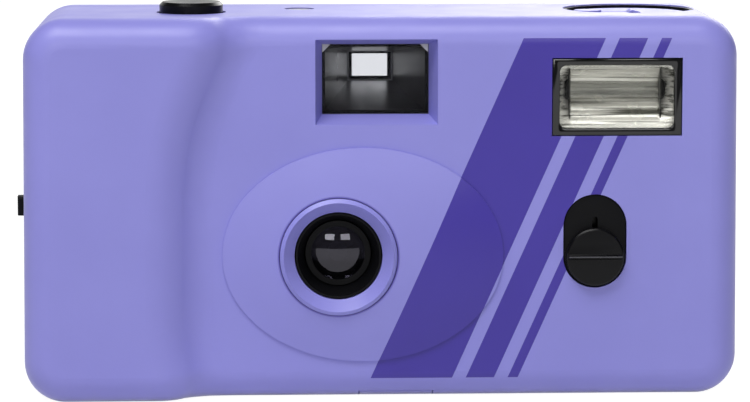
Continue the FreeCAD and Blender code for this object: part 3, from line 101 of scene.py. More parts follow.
PLASTIC_IOR, ACRYLIC_IOR, TUBE_IOR, LENS_IOR = 1.5, 1.49, 1.47, 1.52
GRAIN_MM, GRAIN_DEPTH = 0.35, 0.006

# Width of one band of the wave texture at scale 1

WAVE_BAND = 1 / 6.2


class CameraLooks(bpy.types.PropertyGroup):
    """Sizes that someone would change."""

    stripe_lean: bpy.props.FloatProperty(
        name="Stripe lean", description="Angle of the printed stripes from upright", default=math.radians(24),
        subtype="ANGLE")
    stripe_start: bpy.props.FloatProperty(
        name="Stripe start", description="Left edge of the widest stripe at the foot", default=-3.5 * MM,
        unit="LENGTH")
    stripe_wide: bpy.props.FloatProperty(
        name="Wide stripe", description="Width of the widest stripe", default=13 * MM, unit="LENGTH")
    stripe_middle: bpy.props.FloatProperty(
        name="Middle stripe", description="Width of the second stripe", default=4.5 * MM, unit="LENGTH")
    stripe_thin: bpy.props.FloatProperty(
        name="Thin stripe", description="Width of the narrowest stripe", default=1.6 * MM, unit="LENGTH")
    stripe_gap: bpy.props.FloatProperty(
        name="Stripe gap", description="Gap between the stripes", default=2.2 * MM, unit="LENGTH")
    print_margin: bpy.props.FloatProperty(
        name="Print margin", description="How far the print stays inside the front's rounded edges",
        default=3.2 * MM, unit="LENGTH")
    rib_count: bpy.props.IntProperty(
        name="Reflector ribs", description="Number of ribs across the flash reflector", default=10)
    view_distance: bpy.props.FloatProperty(
        name="View distance", description="From the camera's eye to the housing", default=0.5, unit="LENGTH")
    view_side: bpy.props.FloatProperty(
        name="View side", description="How far the eye stands to the left of the middle", default=0.02,
        unit="LENGTH")
    view_height: bpy.props.FloatProperty(
        name="View height", description="Height of the eye above the floor", default=0.098, unit="LENGTH")
    view_lens: bpy.props.FloatProperty(
        name="View lens", description="Focal length on a 36 mm wide sensor", default=153.0, unit="CAMERA")


# Nodes and colours

def linear(hex_colour):
    """Linear colour of an sRGB hex value."""
    parts = [int(hex_colour[i:i + 2], 16) / 255 for i in (1, 3, 5)]
    return tuple(c / 12.92 if c <= 0.04045 else ((c + 0.055) / 1.055) ** 2.4 for c in parts) + (1.0,)


def add(tree, kind, settings=None, sockets=None):
    """Adds a node with its settings; a socket gets a value, or a link from another node's output."""
    node = tree.nodes.new(kind)
    for key, value in (settings or {}).items():
        setattr(node, key, value)
    for key, value in (sockets or {}).items():
        if isinstance(value, bpy.types.NodeSocket):
            tree.links.new(value, node.inputs[key])
        else:
            node.inputs[key].default_value = value
    return node


def blank(name):
    """The empty tree of a new material."""
    made = bpy.data.materials.new(name)
    made.use_nodes = True
    made.node_tree.nodes.clear()
    return made.node_tree


def finish_surface(tree, shader):
    """Sends a shader to the material's output."""
    add(tree, "ShaderNodeOutputMaterial", None, {"Surface": shader.outputs[0]})


def principled(tree, sockets):
    """Finishes a material with the principled shader."""
    finish_surface(tree, add(tree, "ShaderNodeBsdfPrincipled", None, sockets))


def calc(tree, operation, *values):
    """A step of arithmetic on outputs or numbers."""
    return add(tree, "ShaderNodeMath", {"operation": operation}, dict(enumerate(values))).outputs[0]


def vector_calc(tree, operation, *values):
    """A step of arithmetic on vectors; gives the node, whose output depends on the step."""
    return add(tree, "ShaderNodeVectorMath", {"operation": operation}, dict(enumerate(values)))


def coordinates(tree):
    """The object's own coordinates."""
    return add(tree, "ShaderNodeTexCoord").outputs["Object"]


def noise(tree, size_mm, detail=2.0, stretch=(1, 1, 1)):
    """Noise whose lumps are about size_mm across."""
    place = add(tree, "ShaderNodeMapping", None, {"Vector": coordinates(tree), "Scale": stretch}).outputs[0]
    return add(tree, "ShaderNodeTexNoise", None, {
        "Vector": place, "Scale": 1 / (size_mm * MM), "Detail": detail}).outputs["Fac"]


def ranged(tree, value, low, high, start=0.3, end=0.7):
    """Spreads a value from start..end to low..high."""
    return add(tree, "ShaderNodeMapRange", None, {
        "Value": value, "From Min": start, "From Max": end, "To Min": low, "To Max": high}).outputs[0]


def drift(tree):
    """A slow change from 0 to 1 across a moulding."""
    return ranged(tree, noise(tree, 22, detail=3), 0, 1)


def smudges(tree, low, high, size_mm=3, detail=2):
    """A roughness that changes in smudges."""
    return ranged(tree, noise(tree, size_mm, detail), low, high)


def tinted(tree, value, first, second):
    """A colour between two, by a value from 0 to 1."""
    return add(tree, "ShaderNodeMix", {"data_type": "RGBA"}, {0: value, 6: first, 7: second}).outputs[2]


def relief(tree, height, depth_mm):
    """A normal with bumps of a real depth."""
    return add(tree, "ShaderNodeBump", None, {"Height": height, "Distance": depth_mm * MM}).outputs[0]


# Finishes: each starts from the real material

def moulded(name, colour, shade, roughness, grain_mm=GRAIN_MM, grain_depth=GRAIN_DEPTH, smudge=0.05,
            sheen=0.5):
    """Moulded plastic: an even colour that drifts a little, over the fine pitted grain of an eroded mould."""
    tree = blank(name)
    principled(tree, {
        "Base Color": tinted(tree, drift(tree), linear(colour), linear(shade)),
        "Roughness": smudges(tree, roughness - smudge, roughness + smudge, size_mm=6, detail=4),
        "Normal": relief(tree, noise(tree, grain_mm, detail=1), grain_depth),
        "IOR": PLASTIC_IOR,
        "Specular IOR Level": sheen,
    })


def stripe_ink(tree, split, looks):
    """1 where the slanted stripes lie on the front face and a hair round its edge, else 0."""
    slant = calc(tree, "MULTIPLY", split.outputs["Z"], math.tan(looks.stripe_lean))
    across = calc(tree, "SUBTRACT", split.outputs["X"], slant)
    wrap = 0.15 * MM
    ink = 0
    left = looks.stripe_start
    for width in (looks.stripe_wide, looks.stripe_middle, looks.stripe_thin):
        ink = calc(tree, "MAXIMUM", ink, calc(tree, "COMPARE", across, left + width / 2, width / 2))
        left += width + looks.stripe_gap
    for axis, kind, limit in (("Y", "LESS_THAN", FRONT_Y + wrap),
                              ("Z", "GREATER_THAN", looks.print_margin),
                              ("Z", "LESS_THAN", shell_high.z - looks.print_margin)):
        ink = calc(tree, "MULTIPLY", ink, calc(tree, kind, split.outputs[axis], limit))
    return ink


def ring_joint(tree, place):
    """Painted shade: 1 at the lens ring's edge, fading to 0 just outside it, all the way along Y."""
    start, end = RING_RADIUS + 0.15 * MM, RING_RADIUS + 0.45 * MM
    middle = (ring_low + ring_high) / 2
    from_middle = vector_calc(tree, "SUBTRACT", place, (middle.x, 0, middle.z)).outputs[0]
    off_axis = vector_calc(tree, "MULTIPLY", from_middle, (1, 0, 1)).outputs[0]
    radius = vector_calc(tree, "LENGTH", off_axis).outputs["Value"]
    return ranged(tree, radius, 1, 0, start, end)


def printed_abs(looks):
    """Lavender ABS with pad-printed slanted stripes: the ink is smoother than the moulded grain around it; a
    darker violet ring of painted shade lies round the lens ring.
    """
    tree = blank("lavender_abs_printed")
    place = coordinates(tree)
    ink = stripe_ink(tree, add(tree, "ShaderNodeSeparateXYZ", None, {"Vector": place}), looks)
    slow = drift(tree)
    plastic = tinted(tree, slow, linear(LAVENDER), linear(LAVENDER_SHADE))
    # painted shade: the shell turns darker violet in a thin ring round the lens ring
    plastic = tinted(tree, ring_joint(tree, place), plastic, linear(JOINT_PAINTED_SHADE))
    inked = tinted(tree, slow, linear(PRINT_INK), linear(PRINT_SHADE))
    bare, printed = smudges(tree, 0.37, 0.47, size_mm=6, detail=4), 0.34
    layer = calc(tree, "MULTIPLY", ink, 1.5)
    principled(tree, {
        "Base Color": tinted(tree, ink, plastic, inked),
        "Roughness": add(tree, "ShaderNodeMix", None, {0: ink, 2: bare, 3: printed}).outputs[0],
        "Normal": relief(tree, calc(tree, "ADD", noise(tree, GRAIN_MM, detail=1), layer), GRAIN_DEPTH),
        "IOR": PLASTIC_IOR,
    })


def clear(name, colour, roughness=0.02, ior=ACRYLIC_IOR, mirror="#FFFFFF", body=1.0):
    """Clear moulded acrylic or glass: sharp reflections; less body lets more light straight through."""
    tree = blank(name)
    principled(tree, {
        "Base Color": linear(colour), "IOR": ior, "Transmission Weight": 1.0,
        "Roughness": smudges(tree, roughness, roughness + 0.03, size_mm=5),
        "Specular Tint": linear(mirror), "Alpha": body,
    })


def coated_glass():
    """Polished lens glass over a black barrel: deep and dark, with a faint violet bloom where it mirrors."""
    tree = blank("coated_lens_glass")
    principled(tree, {
        "Base Color": linear("#6C6A78"), "IOR": LENS_IOR, "Transmission Weight": 1.0,
        "Roughness": smudges(tree, 0.0, 0.02, size_mm=9, detail=0),
        "Specular Tint": linear("#F2F0FF"),
    })


def metal(name, colour, shade, roughness, brush):
    """Bare or plated metal: its colour is in the reflection, broken up by rolling or brushing marks."""
    tree = blank(name)
    marks = noise(tree, 0.3, detail=3, stretch=brush)
    principled(tree, {
        "Base Color": tinted(tree, ranged(tree, marks, 0, 1), linear(colour), linear(shade)),
        "Metallic": 1.0,
        "Roughness": smudges(tree, roughness - 0.05, roughness + 0.08),
        "Normal": relief(tree, marks, 0.003),
    })


def aluminised():
    """Vacuum-aluminised ribs: creamy and bright, with thin dark streaks painted into the colour as a painted
    reflection of the dark lens side.
    """
    tree = blank("aluminised_reflector")
    painted_reflection_noise = noise(tree, 0.4, detail=3, stretch=(0.015, 0.2, 1))
    painted_reflection_streaks = ranged(tree, painted_reflection_noise, 0, 1, start=0.5, end=0.6)
    principled(tree, {
        # painted reflection: dark grey streaks in the base colour
        "Base Color": tinted(tree, painted_reflection_streaks, linear("#FAF9F0"), linear("#55554C")),
        "Metallic": 0.4,
        "Roughness": smudges(tree, 0.2, 0.3),
        "Normal": relief(tree, painted_reflection_streaks, 0.02),
    })


def foam():
    """Light-seal foam: open black cells that hardly shine."""
    tree = blank("black_seal_foam")
    cells = add(tree, "ShaderNodeTexVoronoi", None, {
        "Vector": coordinates(tree), "Scale": 1 / (0.5 * MM)}).outputs["Distance"]
    principled(tree, {
        "Base Color": tinted(tree, cells, linear("#0E0E0F"), linear("#242426")),
        "Roughness": 0.95,
        "Normal": relief(tree, cells, 0.15),
    })


def circuit_board():
    """Solder-masked glass-fibre board: glossy green over thin copper tracks."""
    tree = blank("solder_masked_board")
    black, white = (0, 0, 0, 1), (1, 1, 1, 1)
    tracks = add(tree, "ShaderNodeTexBrick", None, {
        "Vector": coordinates(tree), "Scale": 1 / (2.4 * MM), "Mortar Size": 0.04,
        "Color1": black, "Color2": black, "Mortar": white}).outputs["Color"]
    principled(tree, {
        "Base Color": tinted(tree, tracks, linear("#1E6B3A"), linear("#3E8F55")),
        "Roughness": smudges(tree, 0.25, 0.35),
        "Normal": relief(tree, tracks, 0.03),
    })


def banded(name, first, second, band_mm, axis, roughness):
    """Wound tape or a plain printed jacket: straight bands of two colours along one axis."""
    tree = blank(name)
    bands = add(tree, "ShaderNodeTexWave", {"bands_direction": axis}, {
        "Vector": coordinates(tree), "Scale": WAVE_BAND / (band_mm * MM), "Distortion": 0.3}).outputs["Fac"]
    sharp = ranged(tree, bands, 0, 1, start=0.45, end=0.55)
    principled(tree, {
        "Base Color": tinted(tree, sharp, linear(first), linear(second)),
        "Roughness": smudges(tree, roughness - 0.05, roughness + 0.05, size_mm=2),
        "Normal": relief(tree, sharp, 0.02),
    })


def paint(material, *names):
    """Puts a material on CAD nodes."""
    for name in names:
        slots = NODES[name].material_slots
        for slot in slots:
            slot.material = bpy.data.materials[material]
        if not slots:
            NODES[name].data.materials.append(bpy.data.materials[material])


# Modelling steps

def object_mode():
    """Leaves edit mode and deselects everything."""
    if bpy.context.mode != "OBJECT":
        bpy.ops.object.mode_set(mode="OBJECT")
    bpy.ops.object.select_all(action="DESELECT")


def hold(piece):
    """Selects one piece and makes it the active one."""
    object_mode()
    piece.select_set(True)
    bpy.context.view_layer.objects.active = piece


def start(kind, name, scale=(1, 1, 1), **settings):
    """Adds a primitive, with its place in its mesh."""
    object_mode()
    getattr(bpy.ops.mesh, f"primitive_{kind}_add")(**settings)
    piece = bpy.context.object
    piece.name = name
    piece.data.name = name
    piece.scale = scale
    bpy.ops.object.transform_apply(location=True, rotation=True, scale=True)
    return piece


def solid_box(name, low, high):
    """A box from its two corners."""
    low, high = Vector(low), Vector(high)
    return start("cube", name, size=1, location=(low + high) / 2, scale=high - low)


def pick(piece, kind="VERT", test=lambda middle, normal: True):
    """Enters edit mode with what passes a test selected: by middle and normal, or an edge's direction."""
    hold(piece)
    bpy.ops.object.mode_set(mode="EDIT")
    bpy.ops.mesh.select_all(action="DESELECT")
    bpy.ops.mesh.select_mode(type=kind)
    bpy.ops.object.mode_set(mode="OBJECT")
    mesh = piece.data
    if kind == "FACE":
        for face in mesh.polygons:
            face.select = test(face.center, face.normal)
    elif kind == "EDGE":
        for edge in mesh.edges:
            ends = [mesh.vertices[index].co for index in edge.vertices]
            edge.select = test((ends[0] + ends[1]) / 2, ends[1] - ends[0])
    else:
        for vertex in mesh.vertices:
            vertex.select = test(vertex.co, vertex.normal)
    bpy.ops.object.mode_set(mode="EDIT")


def move(x=0, y=0, z=0):
    """Moves what is selected."""
    bpy.ops.transform.translate(value=(x, y, z))


def extrude(x=0, y=0, z=0):
    """Extrudes what is selected."""
    bpy.ops.mesh.extrude_region_move(TRANSFORM_OT_translate={"value": (x, y, z)})


def close_up():
    """Turns all faces outward and leaves edit mode."""
    bpy.ops.mesh.select_all(action="SELECT")
    bpy.ops.mesh.normals_make_consistent(inside=False)
    object_mode()


def modify(piece, kind, **settings):
    """Adds a modifier and applies it."""
    hold(piece)
    bpy.ops.object.modifier_add(type=kind)
    modifier = piece.modifiers[-1]
    for key, value in settings.items():
        setattr(modifier, key, value)
    bpy.ops.object.modifier_apply(modifier=modifier.name)


def soften(piece, width_mm, segments=2, degrees=30):
    """Rounds the edges that are sharper than an angle."""
    modify(piece, "BEVEL", width=width_mm * MM, segments=segments, limit_method="ANGLE",
           angle_limit=math.radians(degrees))


def carve(piece, cutter, operation="DIFFERENCE"):
    """Cuts one mesh from another, or joins it on, and deletes the cutter."""
    modify(piece, "BOOLEAN", object=cutter, operation=operation, solver="EXACT")
    bpy.data.objects.remove(cutter)


def smooth(piece, degrees=30):
    """Smooth shading except over sharp edges."""
    hold(piece)
    bpy.ops.object.shade_smooth_by_angle(angle=math.radians(degrees))


def fit(piece, body, slot, material, *nodes):
    """Gives a finished piece its material and its body, and hides the nodes that it stands for; slot is not
    used.
    """
    hold(piece)
    bpy.ops.object.transform_apply(location=True, rotation=True, scale=True)
    piece.data.materials.clear()
    piece.data.materials.append(bpy.data.materials[material])
    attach(piece, body)
    if nodes:
        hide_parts(*nodes)


def rounded_pane(name, low, high, corner, front, back):
    """An upright pane with round corners, from its low and high (X, Z), its front and its back."""
    middle = ((low[0] + high[0]) / 2, front, (low[1] + high[1]) / 2)
    pane = start("plane", name, size=1, location=middle, rotation=UPRIGHT,
                 scale=(high[0] - low[0], high[1] - low[1], 1))
    pick(pane)
    bpy.ops.mesh.bevel(offset=corner, offset_pct=0, segments=8, affect="VERTICES")
    bpy.ops.mesh.select_all(action="SELECT")
    extrude(y=back - front)
    close_up()
    return pane


def grown_pane(name, low, high, grow, corner, front, back):
    """A rounded pane that is larger than the space from low to high, by grow on every side."""
    return rounded_pane(name, (low.x - grow, low.z - grow), (high.x + grow, high.z + grow), corner,
                        front, back)


def capsule(name, x, ends, radius, front, back):
    """An upright plate with half-round ends, from the heights of their centres."""
    piece = start("cylinder", name, vertices=96, radius=radius, depth=back - front,
                  location=(x, (front + back) / 2, ends[0]), rotation=UPRIGHT)
    pick(piece, "VERT", lambda place, normal: place.z > ends[0] + HAIR)
    move(z=ends[1] - ends[0])
    object_mode()
    return piece


def along(points, place):
    """The height of an outline of straight lines at a place."""
    for (left, low), (right, high) in zip(points, points[1:]):
        if place <= right:
            return low + (high - low) * max(0, place - left) / (right - left)
    return points[-1][1]


# Operators

class DressHousing(bpy.types.Operator):
    """Gives the lavender housing its moulded finish and its printed stripes."""

    bl_idname = "compact_camera.dress_housing"
    bl_label = "Dress housing"

    def execute(self, context):
        printed_abs(context.scene.camera_looks)
        # lavender ABS, moulded against an eroded tool: satin, with soft wide highlights
        moulded("lavender_abs", LAVENDER, LAVENDER_SHADE, 0.42)
        paint("lavender_abs_printed", "front_shell")
        paint("lavender_abs", "rear_cover", "film_door", "battery_door", "rewind_crank", "crank_handle",
              "lens_ring")
        return {"FINISHED"}


class DressBlackPieces(bpy.types.Operator):
    """Gives the black mouldings their grained, smooth or flat finish."""

    bl_idname = "compact_camera.dress_black_pieces"
    bl_label = "Dress black pieces"

    def execute(self, context):
        # grained black ABS: thumb pieces and plates, a little grey where the light rakes it
        moulded("grained_black_abs", "#09090C", "#0D0D10", 0.5, grain_mm=0.3, grain_depth=0.01, sheen=0.12)
        # polished black ABS: keeps sharper highlights
        moulded("polished_black_abs", "#08080B", "#0B0B0E", 0.28, grain_mm=0.5, grain_depth=0.002,
                smudge=0.04, sheen=0.16)
        # the flash's bezel: the same plastic from a mirror-polished mould
        moulded("mirror_black_abs", "#0E0E10", "#131315", 0.12, grain_mm=0.5, grain_depth=0.001, smudge=0.04)
        # painted highlight: a grey black that stands in for the light caught along the thumb ridge's top
        moulded("painted_highlight_grey_abs", "#3C3C42", "#4A4A50", 0.25, grain_mm=0.4, grain_depth=0.002, smudge=0.04)
        # flat black chassis plastic: made dull so that stray light dies in it
        moulded("flat_black_abs", "#0F0F11", "#141416", 0.72, grain_mm=0.25, grain_depth=0.012, sheen=0.2)
        # blackened tunnel of the finder: moulded smooth, so its side walls mirror the eyepiece's light
        moulded("tunnel_black_abs", "#0B0B0D", "#101012", 0.3, grain_mm=0.8, grain_depth=0.001, smudge=0.03,
                sheen=0.12)
        # anodised-looking barrel: a dense black that only its edges break
        moulded("barrel_black_abs", "#07070A", "#0A0A0D", 0.45, grain_mm=0.6, grain_depth=0.002, smudge=0.04,
                sheen=0.12)
        paint("grained_black_abs", "lens_cone", "crank_well", "advance_wheel", "rewind_release", "latch_base",
              "door_latch")
        paint("polished_black_abs", "shutter_button")
        paint("flat_black_abs", "main_body", "take_up_spool", "shutter_plate")
        paint("tunnel_black_abs", "finder_tunnel")
        paint("barrel_black_abs", "lens_barrel")
        return {"FINISHED"}


class DressGlass(bpy.types.Operator):
    """Gives the lenses, windows and lamps their clear finish."""

    bl_idname = "compact_camera.dress_glass"
    bl_label = "Dress glass"

    def execute(self, context):
        coated_glass()
        # cast acrylic: clear and neutral
        clear("clear_acrylic", "#F6F7F8")
        # finder lenses: bloomed against glare, so they mirror little of the room
        clear("bloomed_acrylic", "#E6E7EA", mirror="#5A5A62")
        # smoked violet acrylic over the frame counter: deep tint, bright glint
        clear("violet_acrylic", "#7A6FD0", 0.05)
        # flash window: clear acrylic with a faint green-yellow cast
        clear("flash_acrylic", "#F8F8F2", body=0.2)
        # flash tube: borosilicate glass
        clear("borosilicate_glass", "#F2F4F2", 0.01, TUBE_IOR, body=0.2)
        # lamp cap: orange tinted acrylic, matt inside
        clear("orange_acrylic", "#F06A1C", 0.25)
        paint("coated_lens_glass", "lens_rear")
        paint("clear_acrylic", "film_window")
        paint("bloomed_acrylic", "finder_front_lens", "finder_eyepiece")
        paint("violet_acrylic", "counter_window")
        paint("orange_acrylic", "ready_lamp")
        return {"FINISHED"}


class DressInside(bpy.types.Operator):
    """Gives the metal, the white mouldings and the electrical pieces their finish."""

    bl_idname = "compact_camera.dress_inside"
    bl_label = "Dress inside"

    def execute(self, context):
        # spring steel strip and pins: bright, with rolling marks along the strip
        metal("rolled_spring_steel", "#B9BBC0", "#9C9EA4", 0.3, brush=(1, 1, 12))
        # zinc-plated screw: slightly blue grey, a touch dull
        metal("zinc_plated_steel", "#8D9096", "#777A80", 0.38, brush=(6, 6, 1))
        # nickel-plated contact strip: warm and bright
        metal("nickel_strip", "#C8C5BC", "#AFACA4", 0.25, brush=(1, 8, 1))
        # pressed steel under baked black enamel: smooth with orange-peel waves
        moulded("black_enamelled_steel", "#141416", "#1A1A1D", 0.33, grain_mm=0.9, grain_depth=0.01)
        # natural acetal: waxy white
        moulded("natural_acetal", "#D9D8D2", "#CFCEC7", 0.4, grain_mm=0.6, grain_depth=0.004)
        # white moulded dial
        moulded("white_dial_plastic", "#E2E2DE", "#DADAD5", 0.45, grain_mm=0.4, grain_depth=0.004)
        # shrunk sleeve of the flash capacitor
        moulded("shrunk_black_sleeve", "#101014", "#17171C", 0.35, grain_mm=1.2, grain_depth=0.02)
        foam()
        circuit_board()
        # yellow winding tape, in turns of about a millimetre
        banded("winding_tape", "#D9A92B", "#C4951F", 1.4, "Z", 0.5)
        # plain steel battery jacket: a dark body with one pale band
        banded("printed_steel_jacket", "#2A2E33", "#8A6B3C", 46, "X", 0.32)
        paint("rolled_spring_steel", "door_hinge_pin", "battery_door_pin", "crank_pin", "blade_spring",
              "pressure_spring")
        paint("nickel_strip", "battery_spring", "battery_contact")
        paint("black_enamelled_steel", "pressure_plate", "shutter_blade")
        paint("natural_acetal", "sprocket", "release_lever", "advance_pawl")
        paint("white_dial_plastic", "counter_dial")
        paint("shrunk_black_sleeve", "flash_capacitor")
        paint("black_seal_foam", "door_seal")
        paint("solder_masked_board", "flash_board")
        paint("winding_tape", "flash_transformer")
        paint("printed_steel_jacket", "battery")
        return {"FINISHED"}


class BuildFlash(bpy.types.Operator):
    """Builds the flash's bezel, pane, ribbed dish, tube and tube ends."""

    bl_idname = "compact_camera.build_flash"
    bl_label = "Build flash"

    def execute(self, context):
        aluminised()
        self.bezel()
        self.pane()
        self.dish(context.scene.camera_looks.rib_count * 2)
        self.tube_wall()
        self.boot_plates()
        self.tube_ends()
        return {"FINISHED"}

    def bezel(self):
        """The glossy frame in the housing's opening, with its wider flange behind."""
        margin = Vector((0.9 * MM, 0, 0.9 * MM))
        step = Vector((0, 1.7 * MM, 0))
        slack, corner = 0.05 * MM, 1.1 * MM
        bezel = solid_box("flash_bezel", plate_low + margin, plate_high - margin)
        carve(bezel, solid_box("flange", plate_low + step, plate_high), "UNION")
        carve(bezel, grown_pane("opening", pane_low, pane_high, slack, corner, plate_low.y - MM,
                                plate_high.y + MM))
        soften(bezel, 0.18, degrees=50)
        smooth(bezel)
        fit(bezel, "housing", "black_gloss", "mirror_black_abs", "flash_frame")

    def pane(self):
        """The clear window in the bezel."""
        pane = grown_pane("flash_pane", pane_low, pane_high, 0, MM, pane_low.y, pane_high.y)
        soften(pane, 0.12, degrees=50)
        smooth(pane)
        fit(pane, "housing", "flash_lens", "flash_acrylic", "flash_window")

    def dish(self, rows):
        """A trough of straight ribs, whose ends turn forwards in pleats."""
        trough_end = 2.1 * MM
        rib = 0.12 * MM
        pleat = 0.27 * MM
        # the trough's section: height from the tube's axis and depth, in millimetres
        section = ((-5.4, 0.1), (-2.75, 2.0), (-1.7, 3.2), (-0.8, 3.75), (0.8, 3.75), (1.7, 3.2), (4.3, 0.1))
        tube_z = (tube_low.z + tube_high.z) / 2
        wide, tall = dish_high.x - dish_low.x, dish_high.z - dish_low.z
        middle = (dish_low + dish_high) / 2
        dish = start("grid", "flash_dish", x_subdivisions=3, y_subdivisions=rows, size=1,
                     location=(middle.x, dish_low.y, middle.z), rotation=UPRIGHT, scale=(wide, tall, 1))
        for edge, way in ((dish_low.x, 1), (dish_high.x, -1)):
            column = edge + way * wide / 3
            for row in range(rows + 1):
                height = dish_low.z + tall * row / rows
                turn = 1 if row % 2 else -1
                pick(dish, "VERT", lambda place, normal: abs(place.x - column) < HAIR
                     and abs(place.z - height) < HAIR)
                if 0 < row < rows:
                    depth = along(section, (height - tube_z) / MM) * MM + rib * turn
                    move(x=edge + way * (trough_end + pleat * turn) - column, y=depth)
                else:
                    move(x=edge + way * trough_end - column)
        modify(dish, "SOLIDIFY", thickness=0.3 * MM, offset=-1)
        fit(dish, "housing", "reflector_metal", "aluminised_reflector", "flash_reflector")

    def rod(self, name, x, length, radius, **settings):
        """A cylinder on the flash tube's axis."""
        middle = (tube_low + tube_high) / 2
        return start("cylinder", name, radius=radius, depth=length, location=(x, middle.y, middle.z),
                     rotation=SIDEWAYS, **settings)

    def tube_wall(self):
        """The thin glass wall of the flash tube, open inside so that the ribs show through it."""
        tube = self.rod("tube_wall", (tube_low.x + tube_high.x) / 2, tube_high.x - tube_low.x,
                        (tube_high.z - tube_low.z) / 2, vertices=64, end_fill_type="NOTHING")
        modify(tube, "SOLIDIFY", thickness=0.22 * MM, offset=-1, use_rim=True)
        smooth(tube, 40)
        fit(tube, "housing", "tube_glass", "borosilicate_glass", "flash_tube")

    def boot_plates(self):
        """Thin black strips in the dish, one inside each tube end: painted shadow for the dark gaps at the
        trough's ends.
        """
        inset = 2.25 * MM
        half = 0.12 * MM
        front, back = tube_low.y - 0.5 * MM, dish_high.y - 0.4 * MM
        foot, top = dish_low.z + 1.2 * MM, dish_high.z - 0.8 * MM
        for name, x in (("boot_plate_left", tube_low.x + inset), ("boot_plate_right", tube_high.x - inset)):
            plate = solid_box(name, (x - half, front, foot), (x + half, back, top))
            soften(plate, 0.05)
            # painted shadow: black strips stand in for the shade in the gaps at the trough's ends
            fit(plate, "housing", "black_plastic", "grained_black_abs")

    def tube_ends(self):
        """Black rubber ends, rounded outward, that hold the glass tube in the dish."""
        inset = 1.85 * MM
        length = 0.9 * MM
        round_off = 0.85 * MM
        radius = (tube_high.z - tube_low.z) / 2
        rubber, slack = 0.5 * MM, 0.02 * MM
        for name, x, way in (("tube_end_left", tube_low.x + inset, -1),
                             ("tube_end_right", tube_high.x - inset, 1)):
            cap = self.rod(name, x, length, radius + rubber, vertices=40)
            pick(cap, "EDGE", lambda middle, direction: (middle.x - x) * way > length * 0.45)
            bpy.ops.mesh.bevel(offset=round_off, segments=6)
            carve(cap, self.rod("bore", x, length * 6, radius + slack, vertices=40))
            smooth(cap)
            fit(cap, "housing", "black_plastic", "grained_black_abs")


